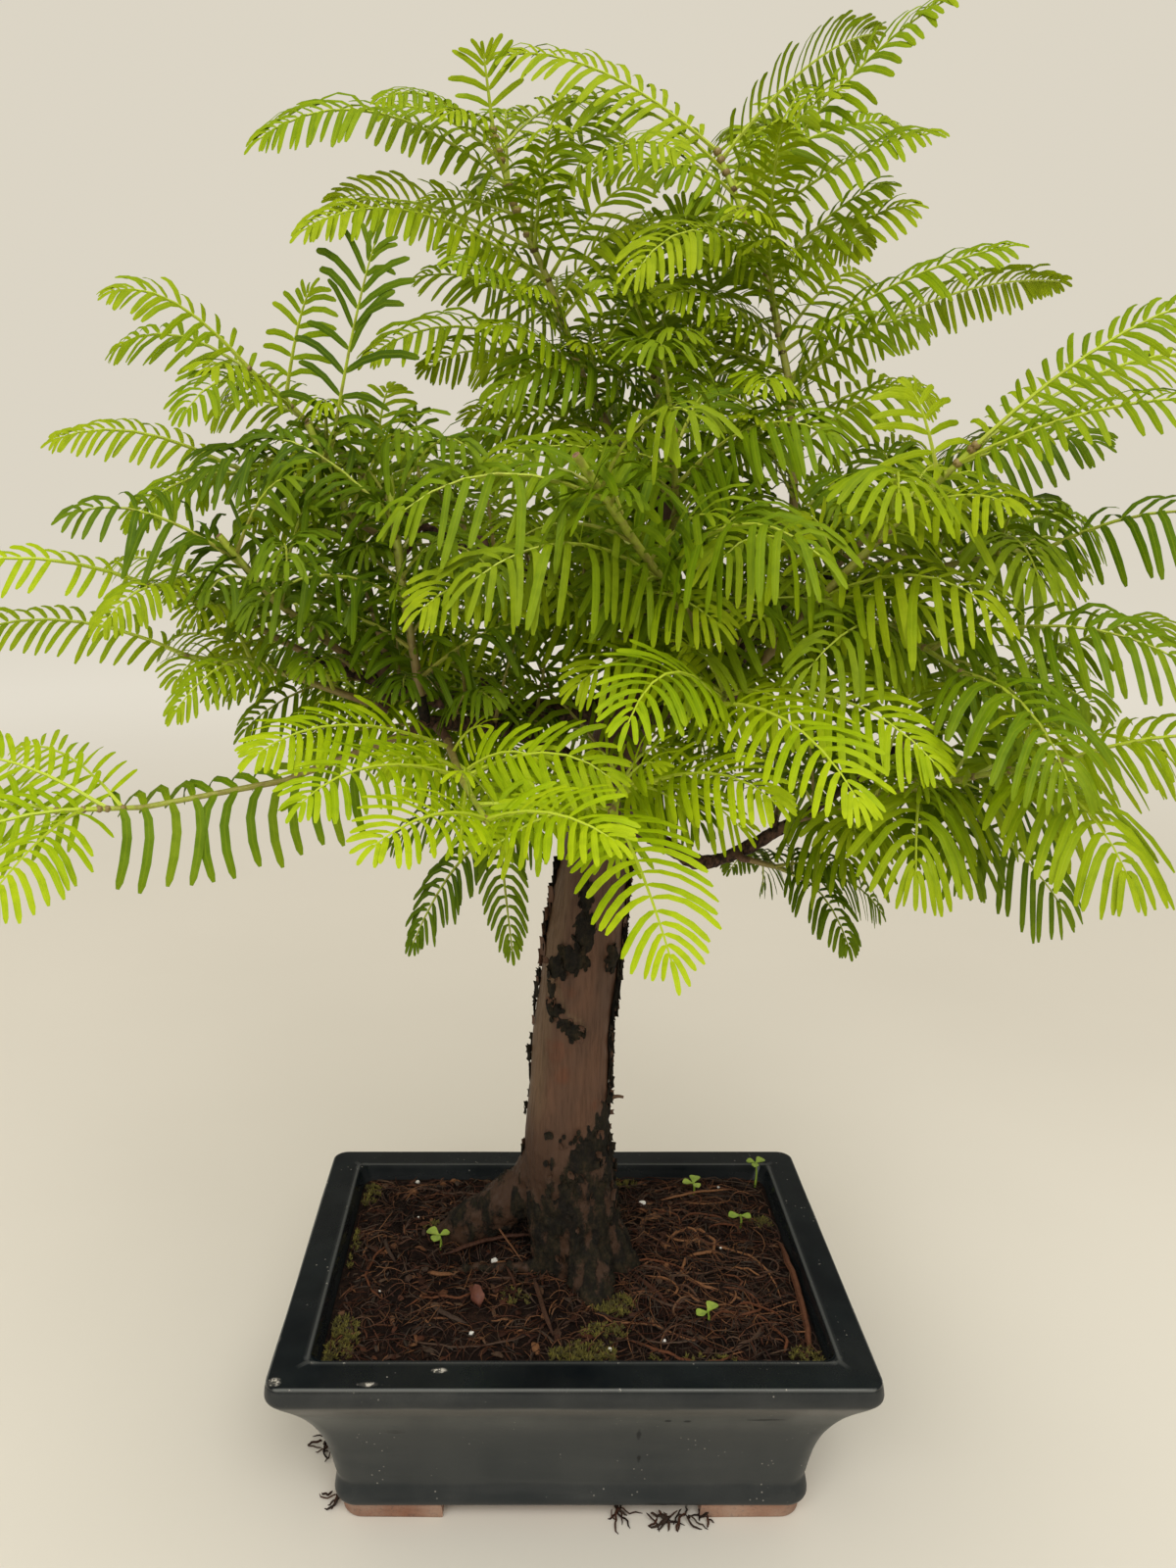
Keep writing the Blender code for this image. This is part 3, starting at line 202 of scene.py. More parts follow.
# Materials. A group works out colours, masks and heights, and the shader itself is in the material.
class Sheet:
    # short ways to place and join nodes in one tree
    def __init__(self, tree):
        self.tree = tree

    def put(self, kind, settings=None, **sockets):
        node = self.tree.nodes.new(kind)
        for key, value in (settings or {}).items():
            setattr(node, key, value)
        self.fill(node.inputs, **sockets)
        return node

    def fill(self, targets, **values):
        for key, value in values.items():
            self.feed(targets[key.replace("_", " ")], value)

    def feed(self, socket, value):
        if isinstance(value, bpy.types.NodeSocket):
            self.tree.links.new(value, socket)
        elif isinstance(value, tuple) and len(value) == 3 and socket.type == "RGBA":
            socket.default_value = (*value, 1.0)
        else:
            socket.default_value = value

    def sums(self, operation, first, second=0.0, third=None):
        node = self.put("ShaderNodeMath", {"operation": operation})
        self.feed(node.inputs[0], first)
        self.feed(node.inputs[1], second)
        if third is not None:
            self.feed(node.inputs[2], third)
        return node.outputs[0]

    def times(self, first, second):
        return self.sums("MULTIPLY", first, second)

    def mix(self, share, first, second):
        node = self.put("ShaderNodeMix", {"data_type": "RGBA"})
        for index, value in ((0, share), (6, first), (7, second)):
            self.feed(node.inputs[index], value)
        return node.outputs[2]

    def window(self, value, low, high, atLow=0.0, atHigh=1.0):
        node = self.put("ShaderNodeMapRange", {"interpolation_type": "SMOOTHSTEP"}, Value=value)
        for key, number in zip(("From Min", "From Max", "To Min", "To Max"), (low, high, atLow, atHigh)):
            self.feed(node.inputs[key], number)
        return node.outputs["Result"]

    def layers(self, color, *rows):
        # each row lays a colour over the last one, by a value and the bounds of its window
        for value, bounds, over in rows:
            color = self.mix(self.window(value, *bounds), color, over)
        return color

    def spot(self, stretch=(1.0, 1.0, 1.0)):
        # the place on the object, with a stretch for a grain
        place = self.put("ShaderNodeTexCoord").outputs["Object"]
        node = self.put("ShaderNodeVectorMath", {"operation": "MULTIPLY"})
        self.feed(node.inputs[0], place)
        node.inputs[1].default_value = stretch
        return node.outputs[0]

    def around(self, centre, reach):
        # how far a place is from a centre in mm, as a share of the reach along each axis
        node = self.put("ShaderNodeVectorMath", {"operation": "MULTIPLY_ADD"})
        self.feed(node.inputs[0], self.put("ShaderNodeTexCoord").outputs["Object"])
        node.inputs[1].default_value = [1 / (mm * part) for part in reach]
        node.inputs[2].default_value = [-place / part for place, part in zip(centre, reach)]
        return self.length(node.outputs[0])

    def length(self, vector):
        return self.put("ShaderNodeVectorMath", {"operation": "LENGTH"}, Vector=vector).outputs["Value"]

    def height(self):
        return self.put("ShaderNodeSeparateXYZ", Vector=self.spot()).outputs["Z"]

    def noise(self, scale, detail=4.0, roughness=0.55, stretch=(1.0, 1.0, 1.0)):
        node = self.put("ShaderNodeTexNoise", Vector=self.spot(stretch))
        self.fill(node.inputs, Scale=scale, Detail=detail, Roughness=roughness)
        return node.outputs["Fac"]

    def cells(self, scale):
        return self.put("ShaderNodeTexVoronoi", Vector=self.spot(), Scale=scale).outputs["Distance"]

    def marks(self):
        node = self.put("ShaderNodeAttribute", {"attribute_name": "marks"})
        parts = self.put("ShaderNodeSeparateXYZ", Vector=node.outputs["Vector"])
        return parts.outputs["X"], parts.outputs["Y"], parts.outputs["Z"]

    def group(self, name, **sockets):
        node = self.put("ShaderNodeGroup")
        node.node_tree = bpy.data.node_groups[name]
        self.fill(node.inputs, **sockets)
        return node.outputs

    def bump(self, height, strength, distance):
        node = self.put("ShaderNodeBump", Height=height, Strength=strength, Distance=distance)
        return node.outputs["Normal"]

    def dress(self, color, rough, height, strength, distance):
        # the material's own shader; a pair of numbers for the roughness follows the relief
        if isinstance(rough, tuple):
            rough = self.window(height, 0.3, 0.7, *rough)
        relief = self.bump(height, strength, distance)
        self.fill(self.shader.inputs, Base_Color=color, Roughness=rough, Normal=relief)
        return self.material


def newGroup(name, inputs, outputs):
    # inputs: name to default; outputs: names, where a colour's name ends in Color
    tree = bpy.data.node_groups.new(name, "ShaderNodeTree")
    for key, value in inputs.items():
        kind = "NodeSocketColor" if isinstance(value, tuple) else "NodeSocketFloat"
        socket = tree.interface.new_socket(key, in_out="INPUT", socket_type=kind)
        socket.default_value = (*value, 1.0) if isinstance(value, tuple) else value
    for key in outputs:
        kind = "NodeSocketColor" if key.endswith("Color") else "NodeSocketFloat"
        tree.interface.new_socket(key, in_out="OUTPUT", socket_type=kind)
    sheet = Sheet(tree)
    return sheet, sheet.put("NodeGroupInput").outputs, sheet.put("NodeGroupOutput").inputs


def newMaterial(name, **plain):
    # plain values go on the shader's own sockets
    material = bpy.data.materials.new(name)
    material.use_nodes = True
    sheet = Sheet(material.node_tree)
    sheet.material = material
    sheet.shader = material.node_tree.nodes["Principled BSDF"]
    sheet.fill(sheet.shader.inputs, **plain)
    return sheet


def leafTissueGroup():
    # marks: along the blade, across it from -1 to 1, and a chance number for each blade
    takes = {"Blade Color": (0.3, 0.4, 0.02), "Young Color": (0.5, 0.6, 0.05)}
    takes.update({"Shade Color": (0.1, 0.2, 0.02), "Vein": 0.3, "Mottle": 0.2})
    sheet, taken, given = newGroup("leafTissue", takes, ["Leaf Color", "Glow Color", "Roughness", "Height"])
    young, shade = taken["Young Color"], taken["Shade Color"]
    along, across, chance = sheet.marks()
    mottle = sheet.noise(260.0, 3.0)
    vein = sheet.window(sheet.sums("ABSOLUTE", across), 0.3, 0.02)
    color = sheet.mix(sheet.times(sheet.window(chance, 0.35, 1.0), 0.75), taken["Blade Color"], young)
    color = sheet.mix(sheet.times(sheet.window(chance, 0.4, 0.0), 0.6), color, shade)
    color = sheet.layers(color, (sheet.noise(18.0, 2.0), (0.42, 0.68, 0.0, 0.3), young))
    color = sheet.mix(sheet.times(sheet.window(mottle, 0.4, 0.7), taken["Mottle"]), color, shade)
    color = sheet.layers(color, (along, (0.72, 1.0, 0.0, 0.3), young), (along, (0.14, 0.0, 0.0, 0.4), young))
    color = sheet.mix(sheet.times(vein, taken["Vein"]), color, young)
    pores = sheet.times(sheet.noise(1500.0, 2.0), 0.25)
    sheet.fill(
        given, Leaf_Color=color, Glow_Color=sheet.mix(0.45, color, young),
        Roughness=sheet.window(mottle, 0.3, 0.7, 0.38, 0.56),
        Height=sheet.sums("ADD", sheet.times(vein, -0.6), pores),
    )


def barkGroup():
    # smooth peeled bark with a long grain, and old rough bark with moss, by a mask
    takes = {"Peeled Color": (0.1, 0.055, 0.036), "Rosy Color": (0.13, 0.06, 0.042)}
    takes.update({"Old Color": (0.02, 0.018, 0.012), "Moss Color": (0.04, 0.05, 0.014)})
    takes.update({"Damp Color": (0.05, 0.03, 0.018), "Old": 0.0, "Moss": 0.0, "Grain": 1.0})
    sheet, taken, given = newGroup("barkSkin", takes, ["Bark Color", "Roughness", "Height"])
    oldTone, damp = taken["Old Color"], taken["Damp Color"]
    fine = sheet.noise(900.0, 5.0, 0.65, (1.0, 1.0, 0.09))
    bands = sheet.noise(190.0, 3.0, stretch=(1.0, 1.0, 0.12))
    cloud = sheet.noise(75.0, 3.0, stretch=(1.0, 1.0, 0.5))
    crumb = sheet.noise(620.0, 6.0, 0.7)
    lump = sheet.noise(260.0, 5.0, 0.62, (1.0, 1.0, 0.4))
    peeled = sheet.layers(taken["Peeled Color"], (cloud, (0.38, 0.66), taken["Rosy Color"]))
    peeled = sheet.mix(sheet.times(sheet.window(bands, 0.5, 0.75), 0.26), peeled, oldTone)
    thread = sheet.times(sheet.window(fine, 0.44, 0.7), taken["Grain"])
    peeled = sheet.mix(sheet.times(thread, 0.34), peeled, oldTone)
    # the foot is damp and darker
    peeled = sheet.layers(peeled, (sheet.height(), (0.145, 0.1, 0.0, 0.94), damp))
    old = sheet.layers(
        oldTone, (lump, (0.46, 0.68, 0.0, 0.8), damp),
        (crumb, (0.42, 0.62, 0.75, 0.0), (0.004, 0.004, 0.003)),
    )
    old = sheet.mix(sheet.times(sheet.window(lump, 0.4, 0.6), taken["Moss"]), old, taken["Moss Color"])
    share = sheet.put("ShaderNodeMix", Factor=taken["Old"])
    sheet.feed(share.inputs[2], sheet.times(fine, taken["Grain"]))
    sheet.feed(share.inputs[3], sheet.sums("MULTIPLY_ADD", crumb, 2.4, sheet.times(lump, 1.6)))
    rough = sheet.sums("MULTIPLY_ADD", taken["Old"], 0.28, sheet.window(fine, 0.3, 0.7, 0.5, 0.72))
    color = sheet.mix(taken["Old"], peeled, old)
    sheet.fill(given, Bark_Color=color, Roughness=rough, Height=share.outputs[0])


def dustGroup():
    # fine grey dust and faint smears that lie on a hard surface
    sheet, taken, given = newGroup("dust", {"Amount": 0.5, "Smear": 0.5}, ["Dust", "Speck"])
    cloud = sheet.noise(28.0, 5.0, 0.6, (1.0, 1.0, 0.6))
    smear = sheet.noise(60.0, 4.0, stretch=(0.35, 0.35, 2.2))
    veil = sheet.times(sheet.window(cloud, 0.35, 0.7), taken["Amount"])
    wiped = sheet.times(sheet.window(smear, 0.45, 0.7), taken["Smear"])
    both = sheet.sums("ADD", veil, sheet.times(wiped, 0.35))
    dust = sheet.times(both, sheet.window(sheet.noise(1400.0, 2.0), 0.2, 0.75, 0.7, 1.0))
    few = sheet.window(sheet.noise(70.0, 2.0), 0.56, 0.64)
    sheet.fill(given, Dust=dust, Speck=sheet.times(sheet.window(sheet.cells(420.0), 0.16, 0.09), few))


def fibreGroup():
    # strands of old bark and root. Marks: a chance number for each strand, the place along it, its grey
    takes = {"Dark Color": (0.02, 0.009, 0.006), "Red Color": (0.1, 0.036, 0.018)}
    takes.update({"Straw Color": (0.26, 0.13, 0.055), "Grey Color": (0.05, 0.037, 0.027)})
    sheet, taken, given = newGroup("fibre", takes, ["Fibre Color", "Roughness", "Height"])
    chance, along, grey = sheet.marks()
    dark = taken["Dark Color"]
    grain = sheet.noise(900.0, 4.0, 0.6)
    fromMiddle = sheet.sums("ABSOLUTE", sheet.sums("SUBTRACT", along, 0.5))
    color = sheet.layers(
        dark, (chance, (0.1, 0.55), taken["Red Color"]), (chance, (0.66, 1.0), taken["Straw Color"]),
        (grey, (0.3, 1.0, 0.0, 0.8), taken["Grey Color"]), (grain, (0.45, 0.75, 0.0, 0.55), dark),
        (fromMiddle, (0.36, 0.5, 0.0, 0.45), dark),
    )
    sheet.fill(given, Fibre_Color=color, Roughness=sheet.window(grain, 0.3, 0.7, 0.6, 0.85), Height=grain)


# Tones of leaf: the blade, where it is young, where it is in shade, and how much the vein shows. Lime is
# fresh growth; bright, mid and dark step down partly for older growth and partly as painted shade, darkest on
# stems under, behind and inside the crown.
leafTones = {
    "lime": ((0.33, 0.47, 0.003), (0.49, 0.60, 0.010), (0.15, 0.25, 0.003), 0.3),
    "bright": ((0.25, 0.36, 0.003), (0.40, 0.49, 0.010), (0.105, 0.19, 0.003), 0.3),
    "mid": ((0.15, 0.25, 0.003), (0.28, 0.37, 0.008), (0.058, 0.118, 0.003), 0.35),
    "dark": ((0.105, 0.185, 0.004), (0.21, 0.30, 0.008), (0.038, 0.082, 0.004), 0.4),
}
glowShare = 0.34


def leafMaterial(tone):
    blade, young, shade, vein = leafTones[tone]
    sheet = newMaterial("leaf_" + tone, Coat_Weight=0.0, Specular_IOR_Level=0.1)
    tissue = sheet.group(
        "leafTissue", Blade_Color=blade, Young_Color=young, Shade_Color=shade, Vein=vein, Mottle=0.3,
    )
    material = sheet.dress(tissue["Leaf Color"], tissue["Roughness"], tissue["Height"], 0.35, 0.0002)
    relief = sheet.shader.inputs["Normal"].links[0].from_socket
    glow = sheet.put("ShaderNodeBsdfTranslucent", Color=tissue["Glow Color"], Normal=relief)
    both = sheet.put("ShaderNodeMixShader", Fac=glowShare)
    sheet.feed(both.inputs[1], sheet.shader.outputs[0])
    sheet.feed(both.inputs[2], glow.outputs[0])
    sheet.feed(material.node_tree.nodes["Material Output"].inputs["Surface"], both.outputs[0])
    return material


def barkMaterial(name, look):
    # marks: how old the bark is, how pale, which on the trunk's left flank is partly painted light, and how
    # red
    sheet = newMaterial(name, Specular_IOR_Level=0.22)
    old, paleAndLit, red = sheet.marks()
    ragged = sheet.noise(700.0, 4.0, 0.6, (1.0, 1.0, 0.6))
    old = sheet.window(sheet.sums("MULTIPLY_ADD", ragged, 0.5, old), 0.66, 0.84)
    peeled = sheet.mix(red, sheet.mix(paleAndLit, look["peeled"], look["paleAndLit"]), look["red"])
    skin = sheet.group(
        "barkSkin", Peeled_Color=peeled, Rosy_Color=sheet.mix(paleAndLit, look["rosy"], look["paleAndLit"]),
        Old_Color=look["old"], Moss_Color=look["moss"], Damp_Color=look["damp"],
        Old=old, Moss=look["mossAmount"], Grain=look["grain"],
    )
    return sheet.dress(skin["Bark Color"], skin["Roughness"], skin["Height"], 0.7, 0.0004)


barkLooks = {
    "bark": dict(
        peeled=(0.090, 0.047, 0.029), rosy=(0.114, 0.056, 0.033), paleAndLit=(0.118, 0.070, 0.039),
        red=(0.108, 0.034, 0.015), old=(0.015, 0.0105, 0.007), moss=(0.023, 0.022, 0.008),
        damp=(0.046, 0.024, 0.014), mossAmount=0.32, grain=1.0,
    ),
    "twig_bark": dict(
        peeled=(0.085, 0.045, 0.026), rosy=(0.12, 0.068, 0.036), paleAndLit=(0.17, 0.105, 0.06),
        red=(0.11, 0.04, 0.022), old=(0.022, 0.014, 0.010), moss=(0.026, 0.028, 0.010),
        damp=(0.05, 0.028, 0.016), mossAmount=0.2, grain=0.8,
    ),
}


def greenStemMaterial():
    # young wood: orange brown at the base and olive green at the tips, by marks Y, fresher by marks Z
    sheet = newMaterial("green_stem")
    along, fresh = sheet.marks()[1:]
    grain = sheet.noise(380.0, 3.0)
    color = sheet.layers(
        (0.22, 0.15, 0.05), (along, (0.1, 0.8), (0.34, 0.42, 0.03)),
        (grain, (0.42, 0.7, 0.0, 0.5), (0.15, 0.08, 0.032)),
    )
    color = sheet.mix(sheet.times(fresh, 0.85), color, (0.42, 0.53, 0.02))
    return sheet.dress(color, (0.42, 0.6), grain, 0.4, 0.0002)


def cutWoodMaterial():
    # rings and fine rays on the pruned ends, by marks X from the middle out
    sheet = newMaterial("cut_wood")
    rings = sheet.sums("SINE", sheet.times(sheet.marks()[0], 22.0))
    grain = sheet.noise(1200.0, 3.0)
    color = sheet.layers(
        (0.26, 0.16, 0.08), (rings, (-1.0, 1.0), (0.17, 0.09, 0.045)),
        (grain, (0.45, 0.7), (0.11, 0.055, 0.03)),
    )
    return sheet.dress(color, (0.7, 0.9), grain, 0.5, 0.0002)


glazeLook = {
    "deep": (0.0022, 0.0042, 0.0058),
    "thin": (0.0065, 0.0100, 0.0115),
    "wall": (0.0310, 0.0350, 0.0355),
    # the upper wall is paler as painted light, the band under the rim is a painted reflection of the pale
    # floor, the rim's outer face is darker as a painted reflection of the dark room, and the plinth is darker
    # as painted shade
    "upper": (0.0620, 0.0660, 0.0620),
    "pooled": (0.0225, 0.0265, 0.028),
    "paintedReflectionBand": (0.078, 0.075, 0.068),
    "side": (0.0165, 0.0190, 0.0205),
    "plinthShade": (0.0170, 0.0205, 0.0225),
    # edges are pale where the glaze breaks thin, and partly a painted highlight along the lip
    "edge": (0.12, 0.125, 0.122),
    "dust": (0.15, 0.148, 0.137),
    "crust": (0.5, 0.47, 0.42),
    "dark": (0.004, 0.005, 0.006),
    # dark marks and a lump in the front wall, and lime crust on the rim: place and reach in mm
    "darkMarks": [
        ((31.5, -67, 51), (1.2, 8, 1)), ((38, -67, 50.6), (1.5, 8, 0.9)),
        ((63.4, -67, 51.8), (7.5, 8, 0.9)), ((22.4, -65, 41.2), (0.9, 8, 3.4)),
        ((23, -61, 28.2), (0.9, 8, 2.8)),
    ],
    "lump": ((-60, -65.5, 44.7), (4.0, 8, 3.2)),
    "paleMarks": [
        ((-98.4, -71, 69), (3.0, 2.4, 2.0)), ((-67.5, -72, 69), (4.0, 1.3, 2.0)),
        ((-44.6, -66, 69.4), (3.0, 1.6, 2.0)), ((-101.5, -50, 68), (2.0, 3.0, 2.0)),
    ],
    # how strongly the wall and the darker rim mirror, and how much dust lies on each
    "mirror": {"glaze": 0.2, "rim_glaze": 0.22},
    "dusty": {"glaze": 0.36, "rim_glaze": 0.1},
}


def glazeMaterial(name):
    # marks: X is how far the face belongs to the satin wall, Y how near it is to an edge, which is paler
    # where the glaze breaks thin and partly as a painted highlight
    look = glazeLook
    sheet = newMaterial(name, IOR=1.5, Specular_IOR_Level=look["mirror"][name])
    wall, edge = sheet.marks()[:2]
    height = sheet.height()
    pool = sheet.noise(34.0, 4.0, 0.6)
    flow = sheet.noise(46.0, 4.0, stretch=(1.0, 1.0, 0.16))
    uneven = sheet.sums("MULTIPLY_ADD", pool, 0.003, height)
    color = sheet.layers(look["deep"], (pool, (0.35, 0.7), look["thin"]))
    # the wall's own satin tone and pooled glaze, with the upper wall paler as painted light
    satinWithPaintedLight = sheet.layers(
        look["wall"], (uneven, (0.0420, 0.0540), look["upper"]),
        (flow, (0.4, 0.72, 0.0, 0.55), look["pooled"]),
    )
    # a paler band under the rim as a painted reflection of the floor, the rim's outer face darker as a
    # painted reflection, and the plinth darker as painted shade
    paintedReflectionBand = sheet.times(sheet.window(uneven, 0.0545, 0.0595), sheet.window(uneven, 0.0640, 0.0622))
    satinWithPaintedLight = sheet.layers(
        sheet.mix(paintedReflectionBand, satinWithPaintedLight, look["paintedReflectionBand"]), (uneven, (0.0622, 0.0640), look["side"]),
        (uneven, (0.0180, 0.0164, 0.0, 0.85), look["plinthShade"]),
    )
    color = sheet.mix(sheet.times(edge, 0.85), sheet.mix(wall, color, satinWithPaintedLight), look["edge"])
    dust = sheet.group("dust", Amount=0.35, Smear=0.6)
    color = sheet.mix(sheet.times(dust["Dust"], look["dusty"][name]), color, look["dust"])
    ragged = sheet.noise(330.0, 6.0, 0.75)
    for centre, reach in look["darkMarks"]:
        away = sheet.sums("MULTIPLY_ADD", ragged, 1.6, sheet.around(centre, reach))
        color = sheet.layers(color, (away, (1.9, 1.4, 0.0, 0.85), look["dark"]))
    # crust grows on edges near the rim, in a few places, and by chance specks
    crust = sheet.times(sheet.window(ragged, 0.62, 0.68), sheet.window(sheet.noise(24.0, 2.0), 0.52, 0.6))
    crust = sheet.times(crust, sheet.window(height, 0.0625, 0.0670))
    crust = sheet.times(crust, sheet.window(edge, 0.1, 0.6))
    crust = sheet.sums("MAXIMUM", crust, sheet.times(dust["Speck"], 0.35))
    for centre, reach in look["paleMarks"]:
        near = sheet.window(sheet.around(centre, reach), 1.0, 0.4)
        crust = sheet.sums("MAXIMUM", crust, sheet.times(near, sheet.window(ragged, 0.50, 0.56, 0.1, 1.0)))
    rough = sheet.sums("MULTIPLY_ADD", dust["Dust"], 0.55, sheet.window(wall, 0.0, 1.0, 0.12, 0.3))
    rough = sheet.sums("MULTIPLY_ADD", crust, 0.5, rough)
    relief = sheet.sums("MULTIPLY_ADD", crust, 0.8, sheet.noise(95.0, 2.0))
    relief = sheet.sums("ADD", relief, sheet.window(sheet.around(*look["lump"]), 1.0, 0.1, 0.0, 5.0))
    relief = sheet.sums("ADD", relief, sheet.times(sheet.window(sheet.cells(150.0), 0.07, 0.03), -1.2))
    return sheet.dress(sheet.mix(crust, color, look["crust"]), rough, relief, 0.22, 0.0006)


def clayMaterial():
    sheet = newMaterial("bare_clay")
    grit = sheet.noise(800.0, 5.0, 0.7)
    color = sheet.layers(
        (0.22, 0.095, 0.055), (sheet.noise(60.0, 3.0), (0.35, 0.7), (0.33, 0.16, 0.095)),
        (grit, (0.52, 0.68, 0.0, 0.7), (0.10, 0.05, 0.035)),
    )
    color = sheet.mix(sheet.group("dust", Amount=0.6, Smear=0.4)["Dust"], color, (0.4, 0.34, 0.28))
    return sheet.dress(color, (0.78, 0.95), grit, 0.5, 0.0003)


def nettingMaterial():
    sheet = newMaterial("netting")
    scuff = sheet.noise(500.0, 4.0)
    color = sheet.layers((0.012, 0.012, 0.013), (scuff, (0.5, 0.75), (0.05, 0.05, 0.05)))
    color = sheet.mix(sheet.group("dust", Amount=0.8, Smear=0.5)["Dust"], color, (0.12, 0.09, 0.06))
    return sheet.dress(color, (0.4, 0.7), scuff, 0.3, 0.0002)


def earthMaterial():
    # damp crumbs between the strands, with painted shade in the hollows and in the gaps between crumbs: marks
    # X is the depth of a hollow
    sheet = newMaterial("earth", Specular_IOR_Level=0.15)
    crumb = sheet.noise(420.0, 7.0, 0.72)
    lumps = sheet.cells(330.0)
    color = sheet.layers(
        (0.011, 0.0055, 0.0038), (sheet.noise(55.0, 3.0), (0.35, 0.68), (0.028, 0.013, 0.008)),
        (crumb, (0.52, 0.72, 0.0, 0.7), (0.06, 0.028, 0.015)),
        # darker in the low gaps between crumbs and by the depth of a hollow, as painted shade
        (lumps, (0.25, 0.65, 0.0, 0.6), (0.006, 0.003, 0.0025)),
        (sheet.marks()[0], (0.2, 1.0, 0.0, 0.8), (0.005, 0.003, 0.002)),
    )
    rough = sheet.window(crumb, 0.3, 0.7, 0.72, 0.95)
    return sheet.dress(color, rough, sheet.sums("MULTIPLY_ADD", lumps, -0.7, crumb), 1.0, 0.0012)


def fibreMaterial(name, dark, red, straw):
    sheet = newMaterial(name, Specular_IOR_Level=0.2)
    strand = sheet.group("fibre", Dark_Color=dark, Red_Color=red, Straw_Color=straw)
    return sheet.dress(strand["Fibre Color"], strand["Roughness"], strand["Height"], 0.6, 0.0002)


def softMaterial(name, first, second, rough):
    # moss, perlite, dry leaf and seedling: two tones in a fine mottle, by marks X
    sheet = newMaterial(name)
    mottle = sheet.noise(500.0, 4.0, 0.6)
    share = sheet.sums("MULTIPLY_ADD", sheet.marks()[0], 0.5, sheet.window(mottle, 0.35, 0.7, 0.0, 0.5))
    return sheet.dress(sheet.mix(share, first, second), (rough - 0.1, rough), mottle, 0.4, 0.0003)


leafTissueGroup()
barkGroup()
dustGroup()
fibreGroup()
leafLooks = {tone: leafMaterial(tone) for tone in leafTones}
bark, twigBark = [barkMaterial(name, look) for name, look in barkLooks.items()]
greenStem = greenStemMaterial()
cutWood = cutWoodMaterial()
glaze, rimGlaze = glazeMaterial("glaze"), glazeMaterial("rim_glaze")
bareClay = clayMaterial()
netting = nettingMaterial()
earth = earthMaterial()
mulch = fibreMaterial("mulch", (0.011, 0.0045, 0.003), (0.060, 0.020, 0.0095), (0.19, 0.085, 0.036))
orangeRoot = fibreMaterial("orange_root", (0.030, 0.011, 0.006), (0.115, 0.040, 0.017), (0.22, 0.10, 0.042))
moss = softMaterial("moss", (0.040, 0.033, 0.006), (0.155, 0.132, 0.015), 0.9)
perlite = softMaterial("perlite", (0.62, 0.6, 0.55), (0.8, 0.78, 0.74), 0.95)
dryLeaf = softMaterial("dry_leaf", (0.09, 0.024, 0.014), (0.17, 0.06, 0.035), 0.7)
seedlingGreen = softMaterial("seedling_green", (0.17, 0.28, 0.025), (0.31, 0.40, 0.06), 0.5)
print("materials ready")


# The pot. Sections run from the inner floor over the rim and down to the underside:
# height, half width, half depth, corner radius.
potLook = {
    "sections": [
        (12, 75, 47.5, 8), (13.6, 76.2, 48.7, 9), (45, 81.5, 54, 8), (68, 87.8, 60.8, 5.2),
        (69.2, 88.7, 61.7, 5.1), (69.6, 89.6, 62.6, 5), (69.55, 91, 64, 5.1), (69.1, 99.4, 72.4, 5.4),
        (68.95, 100.8, 73.8, 5.6), (68.6, 101.3, 74.3, 5.8), (67.9, 101.4, 74.4, 5.9),
        (67.2, 101.6, 74.6, 6), (64.2, 102, 75, 6), (62.6, 101.8, 74.8, 6), (61.2, 101.1, 74.1, 6.1),
        (59, 99.6, 72.6, 6.4), (55.6, 97.1, 70.1, 6.9), (50.5, 93.8, 66.8, 7.4), (44.5, 90.7, 63.7, 7.8),
        (38, 88, 61, 8), (31, 85.9, 58.9, 8), (24, 84.5, 57.5, 8), (18.6, 83.6, 56.6, 8),
        (15.6, 83.1, 56.1, 8), (12.8, 83.5, 56.5, 8), (9.6, 83.9, 56.9, 8), (7.2, 83.2, 56.2, 7.7),
        (6, 81.4, 54.4, 7),
    ],
    "stepsPerSection": 3,
    "cornerSteps": 9,
    "sideSteps": 26,
    # half width and depth of the rim's outer and inner edges, its top, and where the darker glaze begins
    "rimOuter": (102.0, 75.0),
    "rimInner": (89.3, 62.3),
    "rimTop": 69.6,
    "rimGlazeFrom": 68.3,
    "uneven": 0.6,
    "clayBelow": 6.9,
    "footOuter": (82.0, 55.0),
    "footLong": 36.0,
    "footDeep": 28.0,
    "footWide": 11.0,
    "footTop": 7.5,
    "footCorner": 7.5,
    "footTaper": 0.8,
    "drainX": 45.0,
    "drainRadius": 7.0,
}


def roundedRing(height, halfX, halfY, radius, cornerSteps, sideSteps):
    # round a rectangle with rounded corners, anticlockwise from above, with points along the sides
    corners = []
    for corner, (sx, sy) in enumerate([(1, 1), (-1, 1), (-1, -1), (1, -1)]):
        for step in range(cornerSteps + 1):
            angle = math.radians(90 * corner + 90 * step / cornerSteps)
            x = sx * (halfX - radius) + radius * math.cos(angle)
            y = sy * (halfY - radius) + radius * math.sin(angle)
            corners.append((x, y, height))
    ring = []
    count = cornerSteps + 1
    for corner in range(4):
        block = corners[corner * count:(corner + 1) * count]
        ring.extend(block)
        after = corners[((corner + 1) * count) % len(corners)]
        for step in range(1, sideSteps):
            share = step / sideSteps
            ring.append(tuple(a + (b - a) * share for a, b in zip(block[-1], after)))
    return np.array(ring)


def applyModifiers(item):
    graph = bpy.context.evaluated_depsgraph_get()
    graph.update()
    mesh = bpy.data.meshes.new_from_object(item.evaluated_get(graph))
    item.modifiers.clear()
    item.data = mesh
    return mesh


def joinOrCut(item, operation, others):
    for other in others:
        cut = item.modifiers.new("cut", "BOOLEAN")
        cut.operation = operation
        cut.object = other
        cut.solver = "EXACT"
        applyModifiers(item)
        bpy.data.objects.remove(other, do_unlink=True)


